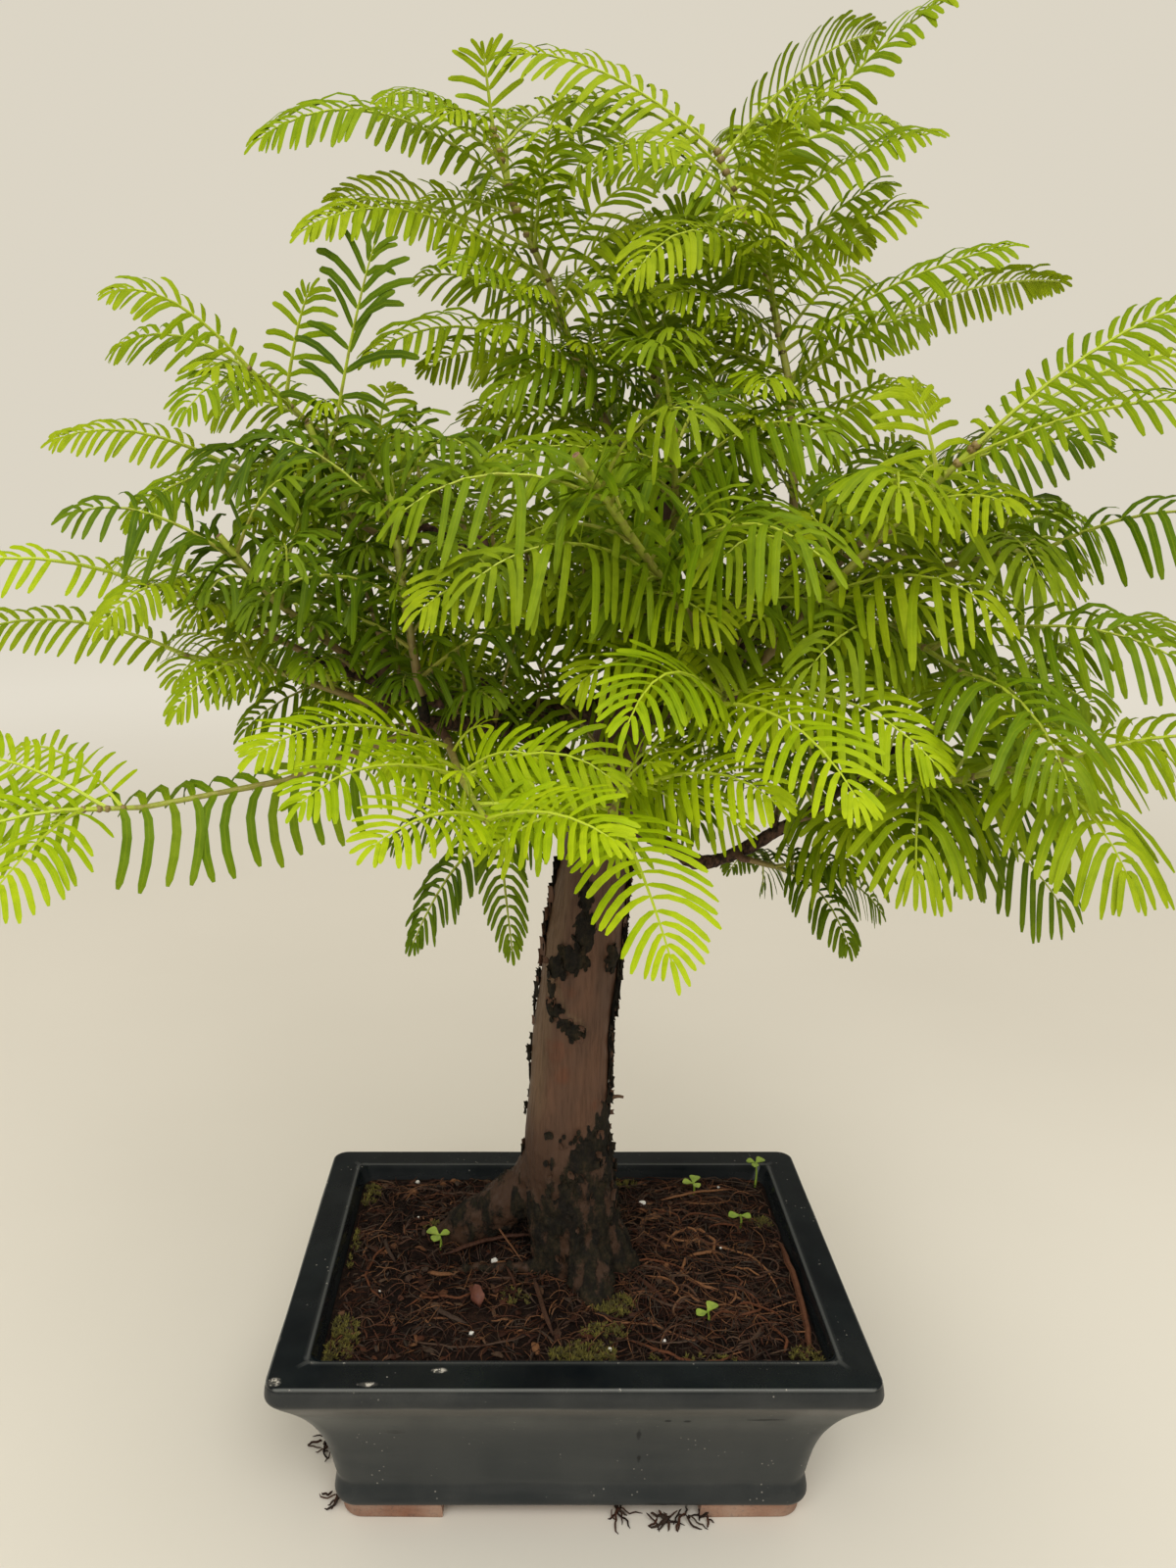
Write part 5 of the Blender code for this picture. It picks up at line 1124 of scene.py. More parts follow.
# Leafy stems. Each has a tone, its radius at the base, its points, and its fronds. A frond leaves the stem
# at a share of its length, and has a tip, the rise of its bow, the length of its leaflets and their hang.
leafyStems = {
    "leader_left": ("bright", 1.6, [
        (24, -3, 350), (2, -6, 390), (-9, -9, 418), (-20, -14, 440), (-26, -20, 459),
    ], [
        (1, (-28, -26, 476), 1, 12, 0.1), (0.86, (-88, -55, 445), 10, 15, 0.3),
        (0.97, (-54, -55, 455), 4, 11, 0.3), (0.94, (6, 14, 475), 4, 11, 0.2),
        (0.62, (-76, -60, 421), 9, 15, 0.3), (0.7, (-80, 20, 447), 4, 14, 0.2),
        (0.74, (26, -58, 441), 8, 16, 0.3), (0.38, (-60, -50, 390), 8, 15, 0.3),
        (0.52, (34, -38, 420), 7, 15, 0.3), (0.82, (-32, 48, 454), 5, 14, 0.3),
        (0.55, (-4, 58, 424), 6, 15, 0.3), (0.3, (-50, 26, 396), 7, 15, 0.3),
    ]),
    "leader_right": ("bright", 1.6, [
        (71, -15, 328), (70, -16, 352), (67, -17, 385), (58, -19, 418), (41, -20, 453),
    ], [
        (1, (-22, -22, 477), 6, 15, 0.3), (0.97, (97, 20, 498), 4, 15, 0.2),
        (0.85, (97, -60, 478), 6, 16, 0.2), (0.8, (93, -56, 446), 4, 16, 0.3),
        (0.52, (118, -55, 418), 2, 14, 0.3), (0.46, (162, 15, 422), 5, 14, 0.3),
        (0.66, (14, -58, 410), 11, 16, 0.3), (0.9, (58, 38, 474), 5, 15, 0.3),
        (0.68, (106, 50, 440), 6, 15, 0.3), (0.56, (38, 48, 414), 6, 16, 0.3),
        (0.32, (114, -6, 384), 6, 16, 0.3), (0.26, (50, -66, 380), 8, 16, 0.3),
    ]),
    "leader_centre": ("mid", 1.5, [(32.5, 0, 362), (29, -6, 377), (24, -13, 392)], [
        (1, (8, -54, 408), 4, 18, 0.3), (0.55, (-24, -44, 380), 8, 18, 0.3),
        (0.5, (62, 34, 392), 5, 18, 0.3), (0.8, (4, 34, 402), 5, 16, 0.3),
    ]),
    "left_high": ("bright", 1.2, [(-58, -26, 350), (-78, -35, 370), (-97, -46, 388)], [
        (1, (-128, -62, 405), 5, 13, 0.3), (0.85, (-137, -36, 394), 6, 13, 0.3),
        (0.6, (-112, -2, 384), 6, 13, 0.3), (0.7, (-104, -84, 372), 6, 14, 0.3),
    ]),
    "left_stub_high": ("dark", 1.3, [(-60, -36, 304), (-68, -46, 344), (-78, -54, 371)], [
        (0.8, (-57, -58, 418), 2, 22, 0.2), (0.55, (-104, -72, 356), 9, 20, 0.4),
        (0.6, (-44, -74, 366), 7, 20, 0.4),
    ]),
    "left_mid": ("bright", 1.2, [(-57, -20, 336), (-82, -32, 352), (-106, -44, 361)], [
        (1, (-148, -62, 366), 4, 12, 0.3), (0.8, (-122, -78, 344), 4, 14, 0.4),
        (0.55, (-112, 4, 356), 6, 14, 0.3),
    ]),
    "left_long": ("bright", 1.2, [(-81, -42.5, 303), (-102, -55, 317), (-124, -68, 327)], [
        (1, (-176, -96, 328), 5, 14, 0.3), (0.4, (-152, -14, 330), 6, 14, 0.3),
        (0.7, (-122, -108, 318), 6, 15, 0.4),
    ]),
    "left_lower": ("bright", 1.2, [(-62, -42, 288), (-90, -53, 300), (-116, -62, 306)], [
        (1, (-178, -84, 309), 7, 14, 0.3), (0.55, (-106, -104, 296), 6, 15, 0.4),
        (0.6, (-134, -22, 303), 6, 14, 0.3),
    ]),
    "left_stub_mid": ("dark", 1.2, [(-72, -46, 305), (-88, -64, 322), (-100, -74, 340)], [
        (0.75, (-134, -88, 346), 5, 20, 0.4), (0.6, (-74, -112, 334), 6, 20, 0.4),
    ]),
    "left_stub_low": ("dark", 1.4, [(-47, -57, 293), (-51, -62, 324), (-54, -64, 356)], [
        (0.45, (-86, -98, 322), 6, 22, 0.5), (0.55, (-22, -110, 330), 7, 22, 0.5),
        (0.8, (-92, -66, 366), 5, 20, 0.4), (0.85, (-30, -98, 362), 6, 20, 0.4),
    ]),
    "left_low_branch": ("mid", 1.2, [
        (-52, -60, 282), (-84, -78, 272), (-118, -98, 269), (-138, -110, 271),
    ], [
        (1, (-180, -116, 268), 3, 16, 0.3), (0.92, (-136, -156, 260), 3, 18, 0.4),
        (0.82, (-162, -72, 280), 4, 16, 0.3),
    ]),
    "front_left": ("lime", 1.3, [(-39, -60, 280), (-33, -95, 276), (-25, -122, 271)], [
        (0.1, (-84, -112, 286), 5, 16, 0.2), (0.52, (-66, -148, 282), 4, 16, 0.2),
        (0.97, (-48, -162, 276), 3, 15, 0.1), (1, (4, -158, 276), 3, 15, 0.1),
        (0.55, (6, -112, 280), 5, 16, 0.2),
    ]),
    "front_centre": ("lime", 1.3, [(16, -30, 263.5), (12, -68, 268), (7, -103, 269)], [
        (1, (17, -158, 248), 3, 18, 0.1), (0.95, (-24, -128, 266), 3, 15, 0.2),
        (0.7, (46, -122, 276), 5, 16, 0.3), (0.35, (-22, -76, 264), 4, 16, 0.4),
        (0.4, (46, -78, 258), 4, 16, 0.4),
    ]),
    "front_right": ("lime", 1.3, [(45, -44, 291.5), (42, -66, 295), (38, -86, 295)], [
        (1, (8, -136, 298), 8, 18, 0.2), (0.97, (62, -138, 280), 5, 18, 0.2),
        (0.55, (88, -112, 284), 6, 18, 0.3), (0.45, (-2, -86, 300), 7, 16, 0.3),
    ]),
    "shoot_right": ("bright", 1.6, [(52, -42, 296), (68, -58, 320), (84, -72, 341), (102, -88, 364)], [
        (1, (150, -106, 396), 4, 12, 0.3), (0.97, (174, -62, 388), 5, 13, 0.3),
        (0.92, (142, -130, 370), 3, 13, 0.3), (0.66, (72, -120, 350), 7, 24, 0.5),
        (0.62, (128, -34, 356), 6, 22, 0.4), (0.36, (104, -98, 322), 6, 24, 0.5),
        (0.4, (34, -98, 334), 8, 24, 0.5),
    ]),
    "right_upper": ("mid", 1.2, [(84, -17, 329), (96, -20, 342), (106, -24, 354)], [
        (1, (146, -56, 366), 4, 19, 0.3), (0.8, (142, 18, 366), 5, 19, 0.3),
        (0.5, (74, -58, 348), 7, 19, 0.4),
    ]),
    "right_mid": ("mid", 1.2, [(101, -21.6, 326), (120, -36, 332), (138, -52, 336)], [
        (1, (174, -88, 344), 4, 20, 0.4), (0.6, (168, -12, 342), 6, 20, 0.4),
        (0.65, (116, -98, 330), 6, 22, 0.5),
    ]),
    "right_back": ("dark", 1.2, [(96, -14, 328), (116, 2, 334), (134, 18, 338)], [
        (1, (174, 34, 344), 4, 18, 0.3), (0.6, (122, 66, 340), 5, 18, 0.4),
    ]),
    "right_low_front": ("mid", 1.3, [(83, -24, 317), (95, -54, 312), (104, -84, 303)], [
        (1, (112, -134, 284), 4, 22, 0.4), (0.55, (58, -98, 306), 6, 20, 0.4),
        (0.7, (152, -108, 308), 6, 20, 0.4),
    ]),
    "right_low_long": ("bright", 1.3, [(72, -22, 244), (86, -54, 260), (110, -82, 274), (128, -98, 282)], [
        (1, (172, -128, 290), 4, 14, 0.3), (0.6, (84, -116, 256), 6, 23, 0.5),
        (0.75, (170, -66, 278), 6, 23, 0.4), (0.85, (120, -150, 266), 4, 23, 0.5),
    ]),
    "right_low": ("dark", 1.1, [(106, -24, 264), (118, -34, 258), (128, -44, 250)], [
        (1, (146, -66, 230), 3, 18, 0.5), (0.5, (110, -82, 246), 5, 20, 0.5),
        (0.6, (164, -20, 244), 5, 20, 0.5),
    ]),
    "right_wide": ("mid", 1.2, [(107, -20, 270), (130, -18, 284), (150, -18, 294)], [
        (1, (177, -46, 312), 5, 16, 0.3), (0.85, (176, 6, 300), 5, 16, 0.3),
        (0.5, (146, -72, 292), 6, 19, 0.4), (0.45, (138, 34, 284), 5, 17, 0.4),
    ]),
    "right_under": ("dark", 1.1, [(60, -17, 231), (72, -14, 227), (82, -9, 221)], [
        (1, (116, 12, 202), 5, 14, 0.4), (0.55, (88, -46, 210), 4, 14, 0.4),
        (0.4, (62, 28, 214), 5, 14, 0.4),
    ]),
    "left_under": ("dark", 1.1, [(-13, -29, 268), (-20, -35, 256), (-28, -38, 245)], [
        (1, (-52, -48, 212), 4, 14, 0.4), (0.6, (-62, -16, 236), 4, 16, 0.4),
        (0.8, (-20, -56, 212), 3, 13, 0.4),
    ]),
    "centre_stub": ("mid", 1.4, [(35, -29, 290), (34, -58, 314), (14, -80, 338), (-3, -98, 360)], [
        (0.5, (-28, -116, 330), 8, 26, 0.5), (0.55, (52, -130, 336), 8, 26, 0.5),
        (0.85, (-46, -108, 346), 6, 23, 0.5), (0.88, (22, -138, 366), 6, 23, 0.5),
    ]),
    "centre_upright": ("mid", 1.4, [(29, -8, 330), (30, -36, 348), (26, -58, 370)], [
        (1, (18, -96, 386), 5, 21, 0.4), (0.65, (66, -76, 366), 7, 21, 0.4),
        (0.6, (-24, -72, 358), 7, 21, 0.4),
    ]),
    "centre_bright": ("bright", 1.3, [(16, -14, 296), (10, -36, 312), (2, -60, 320)], [
        (1, (-42, -112, 322), 7, 17, 0.3), (0.6, (-48, -52, 310), 7, 19, 0.4),
        (0.7, (34, -98, 318), 6, 19, 0.4),
    ]),
    "back_top": ("mid", 1.4, [(30, 6, 344), (28, 30, 364), (22, 52, 380)], [
        (1, (10, 98, 386), 6, 17, 0.3), (0.6, (70, 68, 374), 6, 17, 0.3),
        (0.65, (-32, 72, 376), 6, 17, 0.3),
    ]),
    "back_left_high": ("bright", 1.3, [(-31, -14, 338), (-50, 14, 348), (-66, 38, 354)], [
        (1, (-104, 74, 360), 6, 16, 0.3), (0.6, (-104, 20, 340), 6, 16, 0.3),
        (0.7, (-32, 74, 346), 6, 17, 0.3),
    ]),
    "back_left_mid": ("mid", 1.3, [(-41, -17, 289), (-60, 12, 298), (-80, 38, 304)], [
        (1, (-132, 78, 306), 6, 17, 0.3), (0.65, (-128, 14, 286), 6, 17, 0.3),
        (0.6, (-48, 76, 304), 6, 17, 0.3),
    ]),
    "back_mid": ("bright", 1.3, [(13, 70, 324), (6, 92, 332), (-2, 110, 336)], [
        (1, (-14, 164, 334), 5, 17, 0.3), (0.5, (-50, 104, 332), 6, 17, 0.3),
        (0.55, (54, 122, 336), 6, 17, 0.3),
    ]),
    "back_low_left": ("bright", 1.3, [(-33, 63, 269), (-52, 82, 271), (-70, 98, 271)], [
        (1, (-106, 136, 262), 5, 17, 0.3), (0.55, (-108, 64, 268), 6, 17, 0.4),
        (0.65, (-46, 142, 264), 6, 17, 0.4),
    ]),
    "back_low": ("dark", 1.3, [(-6, 46, 264), (2, 74, 266), (8, 100, 265)], [
        (1, (12, 158, 252), 5, 17, 0.3), (0.5, (56, 92, 262), 6, 17, 0.4),
    ]),
    "back_right": ("mid", 1.3, [(77, 51, 329), (92, 70, 338), (106, 86, 343)], [
        (1, (138, 126, 344), 5, 17, 0.3), (0.55, (150, 60, 344), 6, 17, 0.3),
        (0.6, (72, 130, 342), 6, 17, 0.3),
    ]),
    "back_right_low": ("dark", 1.3, [(62, 40, 312), (82, 58, 304), (102, 74, 298)], [
        (1, (152, 108, 290), 5, 19, 0.4), (0.6, (152, 36, 298), 6, 19, 0.4),
        (0.6, (78, 122, 294), 6, 19, 0.4),
    ]),
    "back_low_right": ("mid", 1.3, [(70, -11, 244), (82, 22, 252), (92, 52, 256)], [
        (1, (118, 104, 248), 5, 19, 0.4), (0.6, (148, 48, 252), 6, 19, 0.4),
        (0.65, (44, 78, 250), 6, 19, 0.4),
    ]),
}
prunedStems = ["left_stub_high", "left_stub_mid", "left_stub_low", "centre_stub"]

trunkLook = {
    "clearPoints": 8,
    "voxel": 1.0,
    "limbSlim": 0.8,
    "flutesTo": 270.0,
    "fluteCentre": 3.0,
    "swellTo": 130.0,
    "swellFade": 60.0,
    # old bark left on the front: x, z, half width, half height
    "patches": [
        (4.9, 217, 2.1, 9), (4.6, 203.5, 4.4, 8), (0.4, 193, 6, 5.2), (-5, 189, 3.4, 4.6),
        (-6.6, 181.5, 1.7, 8.5), (-5.6, 173.5, 3.3, 3.6), (-2.4, 169.6, 2.8, 1.9), (1.3, 165.8, 3.8, 3.3),
        (14.6, 192, 2.6, 5.6),
    ],
    # a tan crack round the patches: its points and half width
    "crack": [(-8.6, 186), (-4.6, 182.5), (-3.0, 177), (-1.2, 172.5), (3.2, 170.2), (5.4, 166.5)],
    "crackHalf": 0.75,
    "redStains": [
        (-5, 158, 5, 6), (-3, 150, 3, 5), (0, 181, 6, 2.5), (6, 102, 3.4, 4.5), (2, 64, 4, 3), (9, 136, 4, 3),
    ],
    "barkThick": 0.75,
}


trunkRows = np.array(trunkLine, float)


def trunkCentreX(height):
    return np.interp(height, trunkRows[:, 2], trunkRows[:, 0])


def trunkRadius(height):
    return np.interp(height, trunkRows[:, 2], trunkRows[:, 3])


def nearestOnLimbs(point):
    best = None
    for line in list(limbs.values()) + [trunkLine[trunkLook["clearPoints"]:]]:
        for first, second in zip(line, line[1:]):
            a = Vector(first[:3])
            b = Vector(second[:3])
            share = max(0.0, min(1.0, (point - a).dot(b - a) / (b - a).length_squared))
            place = a.lerp(b, share)
            gap = (place - point).length
            if best is None or gap < best[0]:
                best = (gap, place, first[3] + (second[3] - first[3]) * share)
    return best[1], best[2]


def twigLine(points, radius):
    seat = Vector(points[0])
    ahead = (Vector(points[1]) - seat).normalized()
    before = seat - ahead * 3.0
    start, limbRadius = nearestOnLimbs(before)
    if (start - before).length < 1.2:
        inside = seat - ahead * 4.0
        return [(*inside, radius * 1.1), (*seat, radius * 1.1)]
    base = min(radius * 1.3, limbRadius * 0.8)
    return [(*start, base), (*before, radius * 1.15), (*seat, radius * 1.1)]


def frontBlots(rows, x, z, wave, fade):
    # blots on the bark: the most that any one of them covers each point
    most = np.zeros(len(x))
    for px, pz, wide, high in rows:
        field = 1.0 - np.hypot((x - px) / wide, (z - pz) / high) + wave
        most = np.maximum(most, smoothStep(0.0, fade, field))
    return most


def barkFields(spots):
    # how old, how pale and how red the bark is at each point; the left flank is paler, partly as painted
    # light
    x, y, z = spots.T
    centre = trunkCentreX(z)
    turn = np.degrees(np.arctan2(y, x - centre))
    rough = noiseAt(spots, (0.33, 0.33, 0.16))
    wave = rough * 0.8 + noiseAt(spots, (0.9, 0.9, 0.6)) * 0.35
    front = y < 2
    old = front * frontBlots(trunkLook["patches"], x, z, wave * 0.5, 0.22)
    # the back and the right flank keep their old bark, and the left flank keeps it high up
    past = np.where(turn < -90, turn + 360, turn)
    leftEdge = np.where(z > 186, 176.0, 150.0)
    back = np.minimum(past + 9 + wave * 7, leftEdge - past + wave * 14) / 12
    high = smoothStep(262, 236, z)
    old = np.maximum(old, smoothStep(0.0, 0.35, back) * high)
    # the foot is rough all round but for the flare on the left, which stays smooth
    topEdge = 130 + 11 * smoothStep(3, 11, x) - 26 * smoothStep(-2, -12, x) + wave * 12
    foot = smoothStep(0.0, 1.0, (topEdge - z) / 10) * (1 - 0.25 * smoothStep(-12, -24, x + (z - 80) * 0.25))
    blotch = noiseAt(spots, (0.24, 0.24, 0.07), 7)
    plates = 0.5 + 0.16 * smoothStep(128, 74, z) + 0.42 * blotch + 0.25 * rough
    plates = np.where(front & (x > 0) & (z > 112), np.maximum(plates, 0.74), plates)
    old = np.maximum(old, foot * np.clip(plates, 0.0, 1.0))
    # the left flank is a tan strip, paler in part as painted light from the left
    paleAndLit = smoothStep(-118, -138, turn + wave * 8) * (turn > -181)
    paleAndLit = paleAndLit * smoothStep(118, 140, z) * smoothStep(236, 222, z)
    crack = trunkLook["crack"]
    for (firstX, firstZ), (lastX, lastZ) in zip(crack, crack[1:]):
        alongX, alongZ = lastX - firstX, lastZ - firstZ
        share = np.clip(((x - firstX) * alongX + (z - firstZ) * alongZ) / (alongX ** 2 + alongZ ** 2), 0, 1)
        gap = np.hypot(x - firstX - share * alongX, z - firstZ - share * alongZ) / trunkLook["crackHalf"]
        near = front * smoothStep(1.3, 0.7, gap)
        paleAndLit = np.maximum(paleAndLit, near)
        old = old * (1 - near)
    red = front * frontBlots(trunkLook["redStains"], x, z, wave * 0.7, 0.7) * 0.85
    old = np.where(np.hypot(x - centre, y) > trunkRadius(z) * 1.5, np.where(z > 225, 0.5, old), old)
    return old, paleAndLit, red


def makeTrunk():
    look = trunkLook
    heap = Heap()
    line = throughPoints(trunkLine, 6)
    points, faces = tubeShape(line[:, :3], line[:, 3], 40)
    flat = points.reshape(-1, 3)
    centre = trunkCentreX(flat[:, 2])
    turn = np.arctan2(flat[:, 1], flat[:, 0] - look["fluteCentre"])
    low = np.clip((look["swellTo"] - flat[:, 2]) / look["swellFade"], 0, 1)
    swell = 1 + 0.05 * np.sin(3 * turn + flat[:, 2] * 0.05) * low
    swell = swell + 0.02 * np.sin(5 * turn + flat[:, 2] * 0.11)
    swell = np.where(flat[:, 2] > look["flutesTo"], 1.0, swell)
    flat[:, 0] = centre + (flat[:, 0] - centre) * swell
    flat[:, 1] *= swell
    heap.add(flat, faces)
    for root in roots:
        line = throughPoints(root, 6)
        for row in line:
            row[3] *= 1.0 + 0.16 * noise.noise(Vector(row[:3]) * 0.12)
        heap.add(*tubeShape(line[:, :3], line[:, 3], 14))
    for limb in limbs.values():
        line = throughPoints(limb, 7)
        for row in line[3:]:
            row[3] *= look["limbSlim"] + 0.22 * noise.noise(Vector(row[:3]) * 0.16)
        heap.add(*tubeShape(line[:, :3], line[:, 3], 12))
    item = looseObject("trunk_rough", newMesh("trunk_rough", np.concatenate(heap.points), heap.faces))
    remesh = item.modifiers.new("skin", "REMESH")
    remesh.mode = "VOXEL"
    remesh.voxel_size = look["voxel"] * mm
    smooth = item.modifiers.new("soften", "SMOOTH")
    smooth.factor = 0.5
    smooth.iterations = 5
    mesh = applyModifiers(item)
    bpy.data.objects.remove(item, do_unlink=True)
    mesh.materials.clear()
    mesh.materials.append(bark)
    spots = pointValues(mesh, "co") / mm
    normals = pointValues(mesh, "normal")
    old, paleAndLit, red = barkFields(spots)
    onTrunk = np.hypot(spots[:, 0] - trunkCentreX(spots[:, 2]), spots[:, 1]) < trunkRadius(spots[:, 2]) * 1.25
    # the grain is long on the trunk and shorter on the limbs
    grain = noiseAt(spots * np.where(onTrunk[:, None], (1, 1, 0.16), (1, 1, 0.6)), 0.7)
    crust = noiseAt(spots, (0.45, 0.45, 0.2)) + 0.6 * noiseAt(spots, (1, 1, 0.6))
    lift = grain * 0.16 * (1 - old) + old * (look["barkThick"] + crust * 0.75)
    lift += smoothStep(140, 84, spots[:, 2]) * crust * 0.7
    lift -= paleAndLit * 0.12
    spots = spots + normals * lift[:, None]
    mesh.vertices.foreach_set("co", (spots * mm).ravel())
    setMarks(mesh, old, paleAndLit, red)
    finishPiece("trunk_and_limbs", mesh, ["trunk"], sharp=75)


def makeFlakes():
    # curled plates of old bark that stand off the edges where it has peeled
    chance = random.Random(8)
    heap = Heap()
    places = []
    for number in range(150):
        z = chance.uniform(134, 244)
        places.append((chance.gauss(-7, 5), z, chance.uniform(1.5, 4.2)))
    for number in range(26):
        places.append((180 + chance.gauss(-3, 5), chance.uniform(186, 226), chance.uniform(1.8, 4.0)))
    for number in range(34):
        places.append((180 + chance.gauss(-14, 9), chance.uniform(120, 186), chance.uniform(1.2, 2.6)))
    for px, pz, wide, high in trunkLook["patches"]:
        for number in range(7):
            way = chance.uniform(0, 2 * math.pi)
            x = px + wide * math.cos(way) * 0.85
            z = pz + high * math.sin(way) * 0.85
            across = max(-0.97, min(0.97, (x - trunkCentreX(z)) / trunkRadius(z)))
            places.append((math.degrees(-math.acos(across)), z, chance.uniform(0.9, 1.9)))
    for number in range(150):
        places.append((chance.uniform(0, 175), chance.uniform(90, 240), chance.uniform(1.6, 4.5)))
    for number in range(120):
        places.append((chance.uniform(-120, 20), chance.uniform(62, 128), chance.uniform(0.9, 2.2)))
    for turn, z, size in places:
        angle = math.radians(turn)
        radius = trunkRadius(z) * (1 + 0.02 * math.sin(5 * angle + z * 0.11)) + 0.35
        outward = np.array([math.cos(angle), math.sin(angle), 0.0])
        around = np.array([-math.sin(angle), math.cos(angle), 0.0])
        spot = np.array([trunkCentreX(z), 0.0, z]) + outward * radius
        high = size * chance.uniform(1.0, 2.4)
        wide = size * chance.uniform(0.4, 0.8)
        curl = chance.uniform(0.3, 1.5) * chance.choice([-1, 1])
        tilt = chance.uniform(-0.3, 0.3)
        up = unit(np.array([0, 0, 1.0]) + around * tilt)
        rows = []
        for level in (-1.0, -0.5, 0.0, 0.5, 1.0):
            narrow = wide * (1 - 0.45 * level * level) * chance.uniform(0.8, 1.15)
            for side in (-1.0, 0.0, 1.0):
                lifted = 0.25 + max(0.0, side * curl) + 0.35 * level * level * abs(curl)
                rows.append(spot + up * level * high / 2 + around * side * narrow + outward * lifted)
        age = chance.choice([1.0, 1.0, 1.0, 0.35])
        heap.add(*sheetShape(np.array(rows), 3, -outward * 0.28), marks=(age, 0.0, 0.1))
    heap.piece("bark_flakes", [bark], "bark", sharp=60)


def makeTwigs():
    # short woody twigs from the limbs to the leafy stems, with small knuckles along them
    heap = Heap()
    for number, stem in enumerate(leafyStems.values()):
        radius, points = stem[1:3]
        line = throughPoints(twigLine(points, radius), 5)
        for row in line[1:-2]:
            row[3] *= 1.0 + 0.18 * noise.noise(Vector(row[:3]) * 0.5)
        heap.add(*tubeShape(line[:, :3], line[:, 3], 9), marks=(0.35 if number % 3 else 0.75, 0.0, 0.15))
    heap.piece("woody_twigs", [twigBark], "bark")


def makeStubs():
    # pruned knots and dead spurs on the trunk and limbs
    chance = random.Random(21)
    heap = Heap()
    spurs = [
        ((16.5, -4, 136), (0.9, -0.3, 0.1), 3.6, 0.7), ((22, -3, 262), (0.7, -0.7, 0.3), 7, 2.0),
        ((8, -10, 232), (-0.3, -0.9, 0.4), 5, 1.6), ((40, -12, 292), (0.2, -0.6, 0.8), 8, 1.7),
        ((-28, -21, 286), (-0.2, -0.3, 0.9), 9, 1.4), ((26, 1, 318), (0.6, -0.6, 0.5), 8, 1.5),
        ((-5, 8, 180), (-0.6, 0.8, 0.2), 5, 1.6), ((14, 11, 214), (0.5, 0.8, 0.2), 4, 1.8),
    ]
    for start, way, length, radius in spurs:
        way = unit(np.array(way, float))
        steps = np.linspace(-0.4, 1, 8)[:, None]
        line = np.array(start, float) + way * steps * length
        line[:, 2] += 0.08 * length * np.sin(steps[:, 0] * 3)
        radii = radius * np.interp(steps[:, 0], [-0.4, 0.1, 0.8, 1.0], [1.5, 1.0, 0.8, 0.72])
        points, faces = tubeShape(line, radii, 10)
        heap.add(points, faces, marks=(chance.uniform(0.2, 0.9), 0.0, 0.1))
        # the cut end is a disc of rings
        end = line[-1]
        rings = [(points[-1] - end) * share * 0.96 + end + way * 0.05 for share in (0.0, 0.35, 0.7, 1.0)]
        faces = [face[:1] + face[:0:-1] for face in ringFaces(4, 10, capped=False)]
        heap.add(rings, faces, kind=1, marks=ringMarks(rings, (0.02, 0.35, 0.7, 1.0)))
    heap.piece("pruned_spurs", [twigBark, cutWood], "bark")


makeTrunk()
makeFlakes()
makeTwigs()
makeStubs()
print("wood ready")


# The leaflets. Places run along a blade, and widths are shares of its full width, which is a base
# width with a share of the blade's length.
bladeLook = {
    "shapes": {
        "long": ((0.0, 0.06, 0.24, 0.5, 0.76, 0.94, 1.0), (0.40, 0.76, 0.94, 1.0, 1.0, 0.82, 0.36)),
        "short": ((0.0, 0.08, 0.34, 0.66, 0.91, 1.0), (0.40, 0.80, 1.0, 1.0, 0.85, 0.36)),
        "least": ((0.0, 0.12, 0.5, 0.88, 1.0), (0.42, 0.86, 1.0, 0.86, 0.34)),
    },
    # longer leaflets than this get the long shape
    "longFrom": 17.0,
    "width": (0.96, 0.058),
    "ridge": 0.17,
}
frondLook = {
    # pitch: a base with a share of the leaflet, and how much closer the pairs come at the tip
    "pitch": (1.62, 0.15),
    "unevenPitch": (0.84, 1.16),
    "crowding": 0.5,
    "bareFoot": 5.0,
    "tipShare": 0.985,
    # size and lean of a leaflet by its place on the frond
    "places": (0.0, 0.2, 0.55, 0.8, 1.0),
    "sizes": (0.72, 1.0, 1.06, 0.8, 0.34),
    "leans": (68.0, 62.0, 52.0, 42.0, 20.0),
    # how far a leaflet bows for each tone, with the share its hang adds, and how fresh a rib is
    "bow": {"lime": 0.22, "bright": 0.5, "mid": 0.6, "dark": 0.7},
    "curl": 0.4,
    "fresh": {"lime": 1.0, "bright": 0.6, "mid": 0.25, "dark": 0.1},
    # a pruned stem's leaflets stand wider apart and less evenly: pitch, lean, reach and hang
    "wild": (1.05, 12.0, 0.72, 0.17),
    "ribRadius": (0.58, 0.22),
}


def addBlades(heap, blades, kind=0, least=False):
    # blades: rows of base, tip, face normal, forward way, width, curl, sickle, arch, roll and chance
    shaped = {"long": [], "short": [], "least": []}
    for blade in blades:
        long = float(np.linalg.norm(np.subtract(blade[1], blade[0]))) >= bladeLook["longFrom"]
        shaped["least" if least else "long" if long else "short"].append(blade)
    for shape, rows in shaped.items():
        addShaped(heap, rows, kind, shape)


